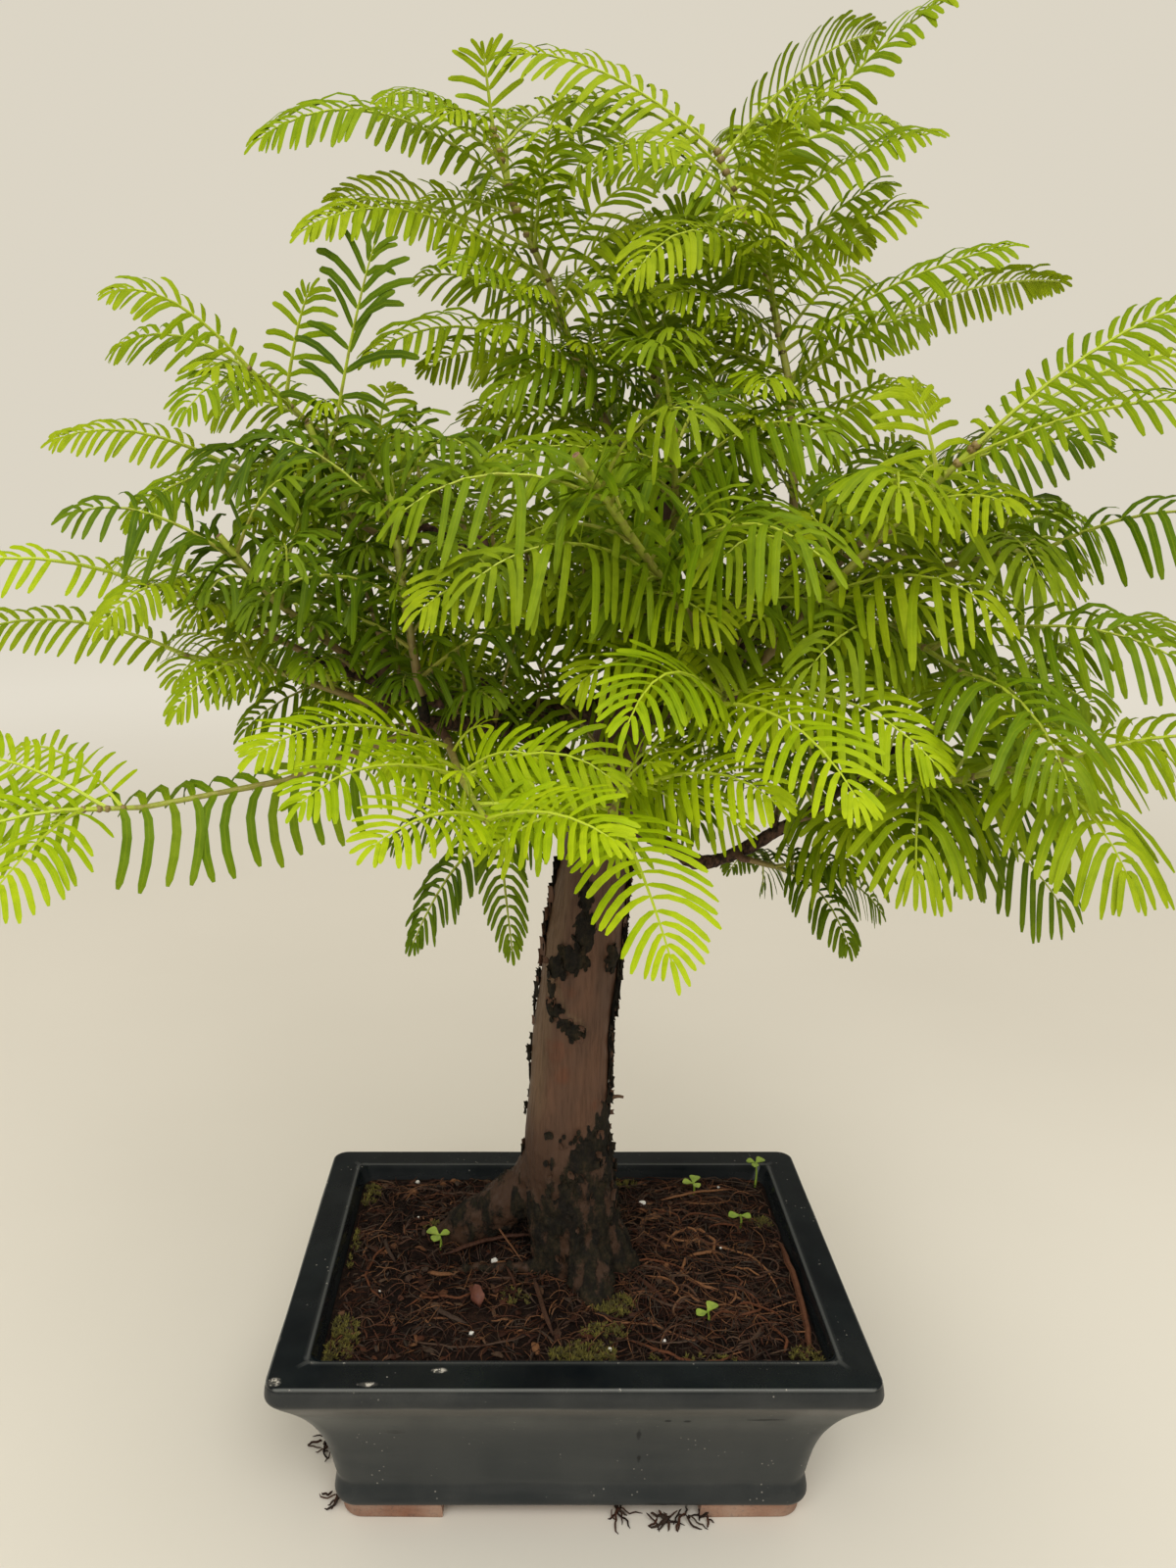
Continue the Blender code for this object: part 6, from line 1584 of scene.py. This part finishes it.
def addShaped(heap, blades, kind, shape):
    if not blades:
        return
    data = np.array([np.concatenate([np.ravel(part) for part in blade]) for blade in blades], float)
    base, tip, normal, forward = data[:, 0:3], data[:, 3:6], data[:, 6:9], data[:, 9:12]
    width, curl, sickle, arch, roll, chance = data[:, 12:18].T
    places, widths = np.array(bladeLook["shapes"][shape])
    share = places[None, :, None]
    chord = tip - base
    reach = np.linalg.norm(chord, axis=1)
    bow = share ** 2 - share
    centre = base[:, None] + chord[:, None] * share
    centre = centre + downwards * (curl * reach)[:, None, None] * bow
    centre = centre + forward[:, None] * (sickle * reach)[:, None, None] * bow
    centre = centre + normal[:, None] * (arch * reach)[:, None, None] * 4 * share * (1 - share)
    tangent = unit(np.gradient(centre, places, axis=1))
    side = unit(np.cross(tangent, normal[:, None]))
    top = np.cross(side, tangent)
    turn = roll[:, None, None] * (0.35 + 0.65 * share)
    side, top = side * np.cos(turn) + top * np.sin(turn), top * np.cos(turn) - side * np.sin(turn)
    half = (width[:, None] / 2 * widths[None])[:, :, None]
    rise = bladeLook["ridge"] * np.minimum(1.0, half / 0.5)
    corners = np.stack([centre + side * half, centre - side * half, centre + top * rise], axis=2)
    count = len(blades)
    block = 3 * len(places)
    marks = np.zeros(corners.shape)
    marks[..., 0] = places[None, :, None]
    marks[:, :, 0, 1] = 1.0
    marks[:, :, 1, 1] = -1.0
    marks[..., 2] = chance[:, None, None]
    starts = np.arange(count)[:, None, None] * block
    sidePattern = np.array(ringFaces(len(places), 3)[:-2])
    capPattern = [[2, 1, 0], [block - 3, block - 2, block - 1]]
    faces = (sidePattern[None] + starts).reshape(-1, 4).tolist()
    caps = [[corner + number * block for corner in cap] for number in range(count) for cap in capPattern]
    heap.add(corners, faces + caps, kind, marks)


def bladeWidth(reach):
    return bladeLook["width"][0] + bladeLook["width"][1] * reach


def hungTip(base, out, hanging, reach):
    return base + (out * math.sqrt(1 - hanging * hanging) + downwards * hanging) * reach


def bowPoint(start, tip, bend, shares):
    # a rib leaves its stem rising and droops at its tip
    middle = start * 0.42 + tip * 0.58 + bend
    share = np.asarray(shares, float)[:, None]
    return start * (1 - share) ** 2 + middle * 2 * share * (1 - share) + tip * share ** 2


def frondFrame(start, tip, bend, shares):
    point = bowPoint(start, tip, bend, shares)
    ahead = bowPoint(start, tip, bend, np.minimum(1.0, shares + 0.02))
    behind = bowPoint(start, tip, bend, np.maximum(0.0, shares - 0.02))
    direction = unit(ahead - behind)
    facing = np.array([0.0, -0.9 if tip[1] < 15 else 0.9, 1.0])
    across = unit(np.cross(direction, facing))
    return point, direction, across, np.cross(across, direction)


def frondShares(length, leaflet, wider=1.0):
    look = frondLook
    pitch = (look["pitch"][0] + look["pitch"][1] * leaflet) * wider
    reached = min(look["bareFoot"], 0.25 * length)
    shares = []
    while reached / length < look["tipShare"]:
        shares.append(reached / length)
        reached += pitch * (1 - look["crowding"] * float(smoothStep(0.62, 1.0, shares[-1])))
    return np.array(shares)


def frondBlades(
    heap, chance, start, tip, rise, leaflet, hang, tone, kind=0, stemTint=0.5, wild=False, least=False,
):
    # opposite pairs along a rib, longest in its middle, crowding and shortening into the tip
    look = frondLook
    wider, unevenLean, shortest, unevenHang = look["wild"] if wild else (1.0, 3.5, 0.9, 0.06)
    length = float(np.linalg.norm(tip - start))
    shares = frondShares(length, leaflet, wider * chance.uniform(*look["unevenPitch"]))
    sizes = leaflet * np.interp(shares, look["places"], look["sizes"])
    leans = np.interp(shares, look["places"], look["leans"])
    sway = np.array([tip[1] - start[1], start[0] - tip[0], 0.0]) * chance.uniform(-0.09, 0.09)
    bend = np.array([0, 0, 2.3 * rise + 0.04 * length]) + sway
    point, direction, across, normal = frondFrame(start, tip, bend, shares)
    tint = chance.uniform(0.1, 0.85)
    blades = []
    for index, share in enumerate(shares):
        ending = float(smoothStep(0.6, 1.0, share))
        for side in (1, -1):
            lean = math.radians(leans[index] + chance.gauss(0, unevenLean))
            reach = sizes[index] * chance.uniform(shortest, 1.06)
            if chance.random() < 0.015 and ending == 0:
                continue
            hanging = min(0.93, max(0.0, hang + chance.gauss(0, unevenHang)))
            out = across[index] * side * math.sin(lean) + direction[index] * math.cos(lean)
            shift = direction[index] * chance.uniform(-0.4, 0.4)
            base = point[index] + across[index] * side * 0.35 + shift
            end = hungTip(base, out, hanging, reach)
            curl = (look["bow"][tone] + look["curl"] * hanging) * chance.uniform(0.75, 1.3)
            young = min(1.0, max(0.0, tint + chance.gauss(0, 0.13) + 0.35 * ending))
            shape = [bladeWidth(reach), curl, chance.uniform(0.12, 0.3), chance.uniform(0.0, 0.05)]
            blades.append((base, end, normal[index], direction[index], shape, [chance.gauss(0, 0.24), young]))
    way = direction[-1]
    end = tip + way * 0.36 * leaflet + downwards * 0.1 * leaflet
    shape = [bladeWidth(0.4 * leaflet), 0.4, 0.0, 0.0, 0.0, min(1.0, tint + 0.35)]
    blades.append((tip - way * 0.5, end, normal[-1], across[-1], shape))
    addBlades(heap, blades, kind, least)
    steps = np.linspace(0, 1, max(7, int(length / 7)))
    line = bowPoint(start, tip, bend, steps)
    thick, thin = look["ribRadius"]
    radii = np.interp(steps, [0, 0.06, 1], [thick * 1.25, thick, thin])
    points, faces = tubeShape(line, radii, 4)
    marks = ringMarks(points, chance.random(), np.clip(stemTint + 0.6 * steps, 0, 1), look["fresh"][tone])
    heap.add(points, faces, kind=1, marks=marks)


def alongLine(points, share):
    vectors = [np.array(p, float) for p in points]
    lengths = [float(np.linalg.norm(b - a)) for a, b in zip(vectors, vectors[1:])]
    left = share * sum(lengths)
    for a, b, length in zip(vectors, vectors[1:], lengths):
        if left <= length + 1e-6:
            return a + (b - a) * min(1.0, left / length), unit(b - a)
        left -= length
    return vectors[-1], unit(vectors[-1] - vectors[-2])


def aroundStem(direction, turn):
    reference = np.array([0.0, 0.0, 1.0]) if abs(direction[2]) < 0.8 else np.array([0.0, -1.0, 0.0])
    sideA = unit(np.cross(direction, reference))
    sideB = np.cross(sideA, direction)
    return sideA * math.cos(turn) + sideB * math.sin(turn)


fillLook = {
    "spacing": 7.5,
    "length": (22.0, 42.0),
    "longer": {"leader_left": 1.55, "leader_right": 1.5, "leader_centre": 1.5, "centre_upright": 1.2},
    "leaflet": (0.86, 1.1),
    "smaller": {
        "left_under": 0.7, "right_under": 0.76, "left_long": 0.76, "left_lower": 0.76, "left_low_branch": 0.8,
        "left_mid": 0.85, "left_stub_mid": 0.85, "left_stub_low": 0.85,
    },
    # fronds from this place on are as fresh as the lime sprays
    "freshFrom": {"left_low_branch": 0.8, "left_long": 0.95},
    "sparser": {
        "left_long": 0.7, "left_lower": 0.7, "left_mid": 0.75, "right_low_long": 0.8, "shoot_right": 0.8,
    },
    "forward": 0.6,
    "turn": 2.4,
    "shorterFront": {
        "front_left", "front_centre", "front_right", "left_low_branch", "left_long", "left_lower",
    },
}
singleLook = {
    # long leaflets that stand straight on a stem: spacing, length, how far they hang, and where
    "left_stub_high": (3.6, 24.0, 0.35, 0.1, 0.96),
    "left_stub_mid": (3.6, 22.0, 0.35, 0.1, 0.96),
    "left_stub_low": (3.8, 25.0, 0.4, 0.08, 0.96),
    "centre_stub": (3.8, 27.0, 0.4, 0.1, 0.97),
    "centre_upright": (5.5, 24.0, 0.4, 0.1, 0.8),
    "shoot_right": (6.0, 26.0, 0.5, 0.06, 0.9),
    "right_low_long": (6.0, 25.0, 0.55, 0.1, 0.9),
    "leader_right": (7.0, 22.0, 0.45, 0.06, 0.8),
    "leader_left": (7.0, 20.0, 0.4, 0.06, 0.8),
}


# fronds between the leaders, too small for the solids: place on the stem, tip, rise, leaflet and hang
moreFronds = {
    "leader_left": [
        (0.8, (12, -2, 461), 4, 14, 0.2), (0.62, (20, -4, 448), 4, 15, 0.2),
        (0.92, (-58, -16, 465), 3, 12, 0.3), (0.5, (-50, 2, 421), 4, 14, 0.3),
        (0.35, (30, -28, 414), 5, 15, 0.3), (0.25, (-26, -50, 398), 5, 15, 0.35),
        (0.45, (-36, -62, 412), 4, 14, 0.3), (0.7, (-8, -62, 446), 4, 13, 0.3),
        (0.3, (8, 40, 412), 4, 15, 0.3), (0.86, (-22, 16, 474), 4, 12, 0.3),
    ],
    "leader_right": [
        (0.94, (-6, -14, 466), 6, 15, 0.3), (0.82, (8, -32, 444), 6, 15, 0.3),
        (0.74, (16, 6, 436), 5, 15, 0.3), (0.9, (98, -4, 464), 4, 15, 0.25),
        (0.62, (94, -40, 432), 4, 15, 0.3), (0.52, (24, -50, 406), 5, 15, 0.35),
        (0.42, (102, -30, 402), 5, 15, 0.3), (0.6, (44, -66, 424), 5, 15, 0.35),
        (0.84, (74, 12, 480), 4, 14, 0.25), (0.7, (52, -64, 446), 4, 14, 0.3),
        (0.38, (36, 10, 404), 5, 15, 0.3),
    ],
    "leader_centre": [
        (0.9, (34, -24, 436), 4, 16, 0.25), (0.9, (14, -4, 430), 4, 15, 0.25),
        (0.7, (52, -14, 424), 4, 15, 0.25), (0.8, (26, 18, 442), 4, 15, 0.25),
    ],
    "left_low_branch": [
        (0.88, (-166, -132, 262), 3, 17, 0.3), (0.86, (-170, -94, 282), 3, 16, 0.2),
    ],
}


def growFillers(heap, chance, name, line, length):
    # the many short side fronds between the main ones
    look = fillLook
    tone, fronds = leafyStems[name][0], leafyStems[name][3]
    count = int(length / look["spacing"] * look["sparser"].get(name, 1.0))
    usual = sum(frond[3] for frond in fronds) / len(fronds) * look["smaller"].get(name, 1.0)
    turn = chance.uniform(0, 6.28)
    for number in range(count):
        share = 0.06 + 0.86 * (number + chance.random() * 0.6) / count
        start, direction = alongLine(line, share)
        turn += look["turn"] + chance.uniform(-0.4, 0.4)
        out = unit(direction * look["forward"] + aroundStem(direction, turn))
        out[2] = out[2] * 0.5 + 0.14
        reach = chance.uniform(*look["length"]) * (1.0 - 0.3 * share)
        reach *= look["longer"].get(name, 1.0)
        if name in look["shorterFront"]:
            reach *= 0.75
        leaflet = usual * chance.uniform(*look["leaflet"]) * min(1.0, 0.55 + reach / 60)
        tip = start + unit(out) * reach
        rise, hang = chance.uniform(1, 4), chance.uniform(0.2, 0.42)
        frondBlades(heap, chance, start, tip, rise, leaflet, hang, tone, 0, 0.35, name in prunedStems)


def growSingles(heap, chance, name, line, length):
    spacing, size, hang, low, high = singleLook[name]
    count = int(length * (high - low) / spacing)
    turn = chance.uniform(0, 6.28)
    blades = []
    for number in range(count):
        share = low + (high - low) * (number + 0.5) / count
        point, direction = alongLine(line, share)
        turn += 1.57 + chance.uniform(-0.2, 0.2)
        for side in (0, math.pi):
            around = aroundStem(direction, turn + side)
            reach = size * chance.uniform(0.8, 1.12)
            out = unit(around + direction * 0.55)
            hanging = min(0.9, hang + chance.gauss(0, 0.1))
            base = point + around * 0.6
            normal = unit(np.cross(np.cross(out, direction), out) + np.array([0, -0.3, 0.5]))
            shape = [bladeWidth(reach), 0.3 + 0.5 * hanging, 0.1, 0.04, chance.gauss(0, 0.3)]
            young = chance.uniform(0.1, 0.75)
            blades.append((base, hungTip(base, out, hanging, reach), normal, direction, shape, young))
    addBlades(heap, blades)


hangingRow = {"stem": "left_low_branch", "from": 0.10, "to": 0.86, "pitch": 6.6, "leaflet": 24.0}


def growHangingRow(heap, chance, line, length):
    look = hangingRow
    pairs = round(length * (look["to"] - look["from"]) / look["pitch"])
    blades = []
    for number in range(pairs):
        share = look["from"] + (look["to"] - look["from"]) * (number + 0.5) / pairs
        point, direction = alongLine(line, share)
        across = unit(np.cross(direction, [0, 0, 1.0]))
        for side in (1, -1):
            # the near row hangs, and the far one arches over the stem
            near = across[1] * side < 0
            reach = look["leaflet"] * chance.uniform(0.92, 1.05) * (1.0 if near else 0.8)
            level, drop, curl = (0.42, 0.88, 0.5) if near else (0.9, 0.3, 1.1)
            base = point + across * side * 0.6 + direction * chance.uniform(-0.5, 0.5)
            end = base + (across * side * level + direction * 0.2) * reach + downwards * drop * reach
            normal = unit(np.cross(across * side, direction) * side + across * side * 0.9)
            face = unit(np.array([0, -0.8, 0.3]) + normal * 0.4)
            sickle = -0.5 if share < 0.6 else 0.4
            roll, young = chance.gauss(0, 0.25), chance.uniform(0.3, 0.8)
            blades.append((base, end, face, direction, [2.5, curl, sickle, 0.0, roll, young]))
    addBlades(heap, blades)


def growStem(number, name):
    chance = random.Random(100 + number)
    heap = Heap()
    tone, radius, points, fronds = leafyStems[name]
    points = [np.array(point, float) for point in points]
    points[0] = points[0] + unit(points[1] - points[0]) * 0.3
    lengths = [float(np.linalg.norm(b - a)) for a, b in zip(points, points[1:])]
    length = sum(lengths)
    pruned = name in prunedStems
    end = radius * (0.85 if pruned else 0.5)
    radii = radius + (end - radius) * np.cumsum([0.0] + lengths) / length
    steps = np.arange(5 * len(points) - 4) / 5
    columns = np.column_stack([points, radii]).T
    rows = np.column_stack([np.interp(steps, np.arange(len(points)), column) for column in columns])
    rows[1:-1, 3] *= 1.0 + 0.12 * noiseAt(rows[1:-1, :3], 0.35)
    tube, faces = tubeShape(rows[:, :3], rows[:, 3], 8)
    heap.add(tube, faces, kind=1, marks=ringMarks(tube, chance.random(), np.linspace(0.1, 0.8, len(rows))))
    if pruned:
        way = unit(points[-1] - points[-2])
        ring = tube[-1] - points[-1]
        disc = [points[-1] + way * 0.12 + ring * share for share in (0.02, 0.45, 0.9)]
        heap.add(disc, ringFaces(3, 8, capped=False), kind=2, marks=ringMarks(disc, (0.0, 0.45, 0.9)))
    for share, tip, rise, leaflet, hang in fronds + moreFronds.get(name, []):
        start, direction = alongLine(points, share)
        if share == 1:
            start = start - direction * 1.5
        knuckle = ballShape(start, (radius * 0.9, radius * 0.9, radius * 0.8), 5, 7, number, 0.1)
        heap.add(*knuckle, kind=1, marks=(0.2, 0.2, 0.0))
        leaflet *= fillLook["smaller"].get(name, 1.0)
        fresh = share >= fillLook["freshFrom"].get(name, 2.0)
        tip = np.array(tip, float)
        freshTone = "lime" if fresh else tone
        frondBlades(heap, chance, start, tip, rise, leaflet, hang, freshTone, 3 * fresh, wild=pruned)
    if name != hangingRow["stem"]:
        growFillers(heap, chance, name, points, length)
    if name in singleLook:
        growSingles(heap, chance, name, points, length)
    if name == hangingRow["stem"]:
        growHangingRow(heap, chance, points, length)
    materials = [leafLooks[tone], greenStem, cutWood, leafLooks["lime"]]
    heap.piece("foliage_" + name, materials, "leaf_" + tone, [name], sharp=48)


# Short fronds that fill the inside of the crown, in the mid and dark leaf tones as painted shade. For each
# limb: the stretch that carries them
# and how many, with the trunk's top as one more.
innerLook = {
    "stretches": {
        "right": (0.2, 0.95, 13), "front_right": (0.3, 0.95, 7), "left": (0.2, 0.95, 15),
        "low_left": (0.35, 0.95, 9), "front": (0.5, 1.0, 5), "upper_left": (0.1, 0.95, 14),
        "back": (0.2, 0.95, 8), "back_left": (0.35, 0.95, 6), "back_right": (0.15, 0.95, 9),
        "low_right": (0.62, 0.95, 5), "trunk_top": (0.1, 0.95, 15),
    },
    "length": (30.0, 50.0),
    "leaflet": (12.0, 17.0),
}


def growInner():
    chance = random.Random(61)
    heap = Heap()
    look = innerLook
    for name, (first, last, count) in look["stretches"].items():
        line = trunkLine[-4:] if name == "trunk_top" else limbs[name]
        turn = chance.uniform(0, 6.28)
        for number in range(count):
            share = first + (last - first) * (number + chance.random()) / count
            start, direction = alongLine([row[:3] for row in line], share)
            turn += 2.4 + chance.uniform(-0.4, 0.4)
            out = direction * 0.5 + aroundStem(direction, turn)
            out[2] = out[2] * 0.6 + 0.22
            tip = start + unit(out) * chance.uniform(*look["length"])
            kind = 2 if number % 2 else 0
            leaflet = chance.uniform(*look["leaflet"])
            rise, hang = chance.uniform(1, 5), chance.uniform(0.25, 0.5)
            frondBlades(heap, chance, start, tip, rise, leaflet, hang, "dark", kind, 0.1, least=True)
    heap.piece("foliage_inside", [leafLooks["mid"], greenStem, leafLooks["dark"]], "leaf_dark", sharp=48)


for number, name in enumerate(leafyStems):
    growStem(number, name)
growInner()
print("foliage ready")

# Seedlings: x, y, turn in degrees, height, how large they are, and how many leaves.
seedlings = [
    (-50, 6, 150, 72.5, 1, 3), (54, 43, 75, 72.5, 0.95, 3), (70, 21, 190, 71.5, 0.9, 2),
    (48, -39, 65, 72, 0.95, 2), (82, 53, 40, 76, 0.85, 3),
]
# A seed leaf's half width by the place along it.
seedLeaf = [(0.0, 0.35), (0.15, 0.55), (0.35, 1.3), (0.55, 2.1), (0.75, 2.35), (0.9, 1.7), (1.0, 0.4)]


def makeSeedling(number, x, y, turn, top, size, leaves):
    chance = random.Random(40 + number)
    heap = Heap()
    ground = soilHeight(x, y) - 2
    sway = np.linspace(0, 1, 8)
    bend = [0.7 * np.sin(sway * 3), 0.3 * np.sin(sway * 4), (top - ground) * sway]
    line = np.array([x, y, ground]) + np.transpose(bend)
    heap.add(*tubeShape(line, np.linspace(0.5, 0.36, 8), 7), marks=(0.2, 0.0, 0.0))
    for leaf in range(leaves):
        heading = math.radians(turn + leaf * (110 if leaves == 3 else 150) + chance.uniform(-12, 12))
        large = size * (5.8, 5.0, 4.4)[leaf]
        out = unit(np.array([math.cos(heading), math.sin(heading), 0.35]))
        wide = np.array([-math.sin(heading), math.cos(heading), 0.0])
        up = np.cross(out, wide)
        base = line[-1] - np.array([0, 0, 0.3])
        rows = []
        for share, half in seedLeaf:
            centre = base + out * share * large - np.array([0, 0, 0.22 * large * share ** 2])
            half = half * large / 5.6
            cup = 0.22 * half
            for side in (-1.0, -0.5, 0.0, 0.5, 1.0):
                rows.append(centre + wide * half * side + up * (cup * side * side if side else -0.05))
        marks = (chance.uniform(0.3, 1.0), 0.0, 0.0)
        heap.add(*sheetShape(np.array(rows), 5, -up * 0.32), marks=marks)
    number += 1
    heap.piece("sprout_%d" % number, [seedlingGreen], "seedling_green", ["seedling_%d" % number], sharp=60)


for number, row in enumerate(seedlings):
    makeSeedling(number, *row)


def makeRootlets():
    # fine dark rootlets that creep out of the drain holes and lie on the floor under the pot
    chance = random.Random(17)
    heap = Heap()
    # where a bunch is, how far it spreads, how many rootlets it has and which way they point
    bunches = [
        (15, -52, 5, 4, 8, -1.6), (34, -55, 16, 4, 16, -1.3), (45, -55, 9, 4, 8, -0.8),
        (-92, -16, 6, 22, 22, 2.9), (-84, -46, 4, 5, 5, 3.4),
    ]
    for x, y, spreadX, spreadY, count, toward in bunches:
        for number in range(count):
            px = x + chance.uniform(-spreadX, spreadX) * 0.5
            py = y + chance.uniform(-spreadY, spreadY) * 0.5
            heading = toward + chance.gauss(0, 0.9)
            line = []
            reach = chance.uniform(3, 10)
            for step in range(8):
                share = step / 7
                line.append((px, py, 0.5 + 2.2 * (1 - share) ** 2 + 0.3 * math.sin(step * 1.7)))
                heading += chance.uniform(-0.7, 0.7)
                px += math.cos(heading) * reach / 7
                py += math.sin(heading) * reach / 7
            addStrand(heap, line, chance.uniform(0.22, 0.5), chance.uniform(0, 0.5), 5)
    heap.piece("rootlets_below", [mulch], "soil")


makeRootlets()
print("seedlings ready")


# The stage, soft daylight and the camera.
stageLook = {
    "floor": (0.69, 0.66, 0.595),
    "sky": (0.86, 0.80, 0.675),
    "skyStrength": 0.83,
    # how much of the sky's light is held back from reflections, as the room before the pot is dark
    "held": 0.72,
    # the floor pales into the sky between these distances
    "farFloor": (0.5, 2.4),
    # place, aim, size, power and colour
    "lights": {
        "window": ((-0.75, -1.35, 1.15), (0.0, 0.0, 0.2), 1.1, 10.0, (1.0, 0.985, 0.95)),
        "ceiling": ((0.15, -0.35, 1.5), (0.0, 0.0, 0.3), 1.0, 4.8, (1.0, 1.0, 0.98)),
        "fill": ((0.3, -1.1, 1.3), (0.0, -0.2, 0.0), 0.7, 9.0, (1.0, 0.99, 0.97)),
    },
}
cameraLook = {"place": (-0.0145, -0.4047, 0.3434), "downDegrees": 12.5, "lens": 27.05, "shiftX": 0.0369}


def makeStage():
    look = stageLook
    rings = []
    for reach in (0.5, 300, 800, 2000, 6000, 20000):
        for step in range(48):
            turn = 2 * math.pi * step / 48
            rings.append((reach * math.cos(turn), reach * math.sin(turn), 0.0))
    mesh = newMesh("floor", rings, [face[::-1] for face in ringFaces(6, 48, capped=False)])
    sheet = newMaterial("floor", Roughness=0.7, Specular_IOR_Level=0.0)
    away = sheet.length(sheet.spot())
    paler = tuple(part * 0.97 for part in look["floor"])
    color = sheet.layers(
        look["floor"], (sheet.noise(2.5, 3.0), (0.35, 0.7), paler), (away, look["farFloor"], (1.0, 1.0, 1.0)),
    )
    sheet.fill(sheet.shader.inputs, Base_Color=color)
    mesh.materials.append(sheet.material)
    floor = looseObject("floor", mesh)
    world = bpy.data.worlds.new("daylight")
    bpy.context.scene.world = world
    world.use_nodes = True
    sky = world.node_tree.nodes["Background"]
    sky.inputs["Color"].default_value = (*look["sky"], 1.0)
    sheet = Sheet(world.node_tree)
    glossy = sheet.put("ShaderNodeLightPath").outputs["Is Glossy Ray"]
    held = -look["held"] * look["skyStrength"]
    sheet.feed(sky.inputs["Strength"], sheet.sums("MULTIPLY_ADD", glossy, held, look["skyStrength"]))
    for name, (place, aim, size, power, colour) in look["lights"].items():
        lamp = bpy.data.lights.new(name, "AREA")
        lamp.shape = "DISK"
        lamp.size = size
        lamp.energy = power
        lamp.color = colour
        item = looseObject(name, lamp)
        item.location = place
        item.rotation_euler = (Vector(aim) - Vector(place)).to_track_quat("-Z", "Y").to_euler()


def makeCamera():
    look = cameraLook
    lens = bpy.data.cameras.new("viewpoint")
    lens.lens = look["lens"]
    lens.sensor_width = 36.0
    lens.shift_x = look["shiftX"]
    lens.clip_start = 0.01
    camera = looseObject("viewpoint", lens)
    camera.location = look["place"]
    camera.rotation_euler = (math.radians(90 - look["downDegrees"]), 0.0, 0.0)
    bpy.context.scene.camera = camera


makeStage()
makeCamera()
bpy.context.scene.view_settings.view_transform = "Standard"
print("scene ready")
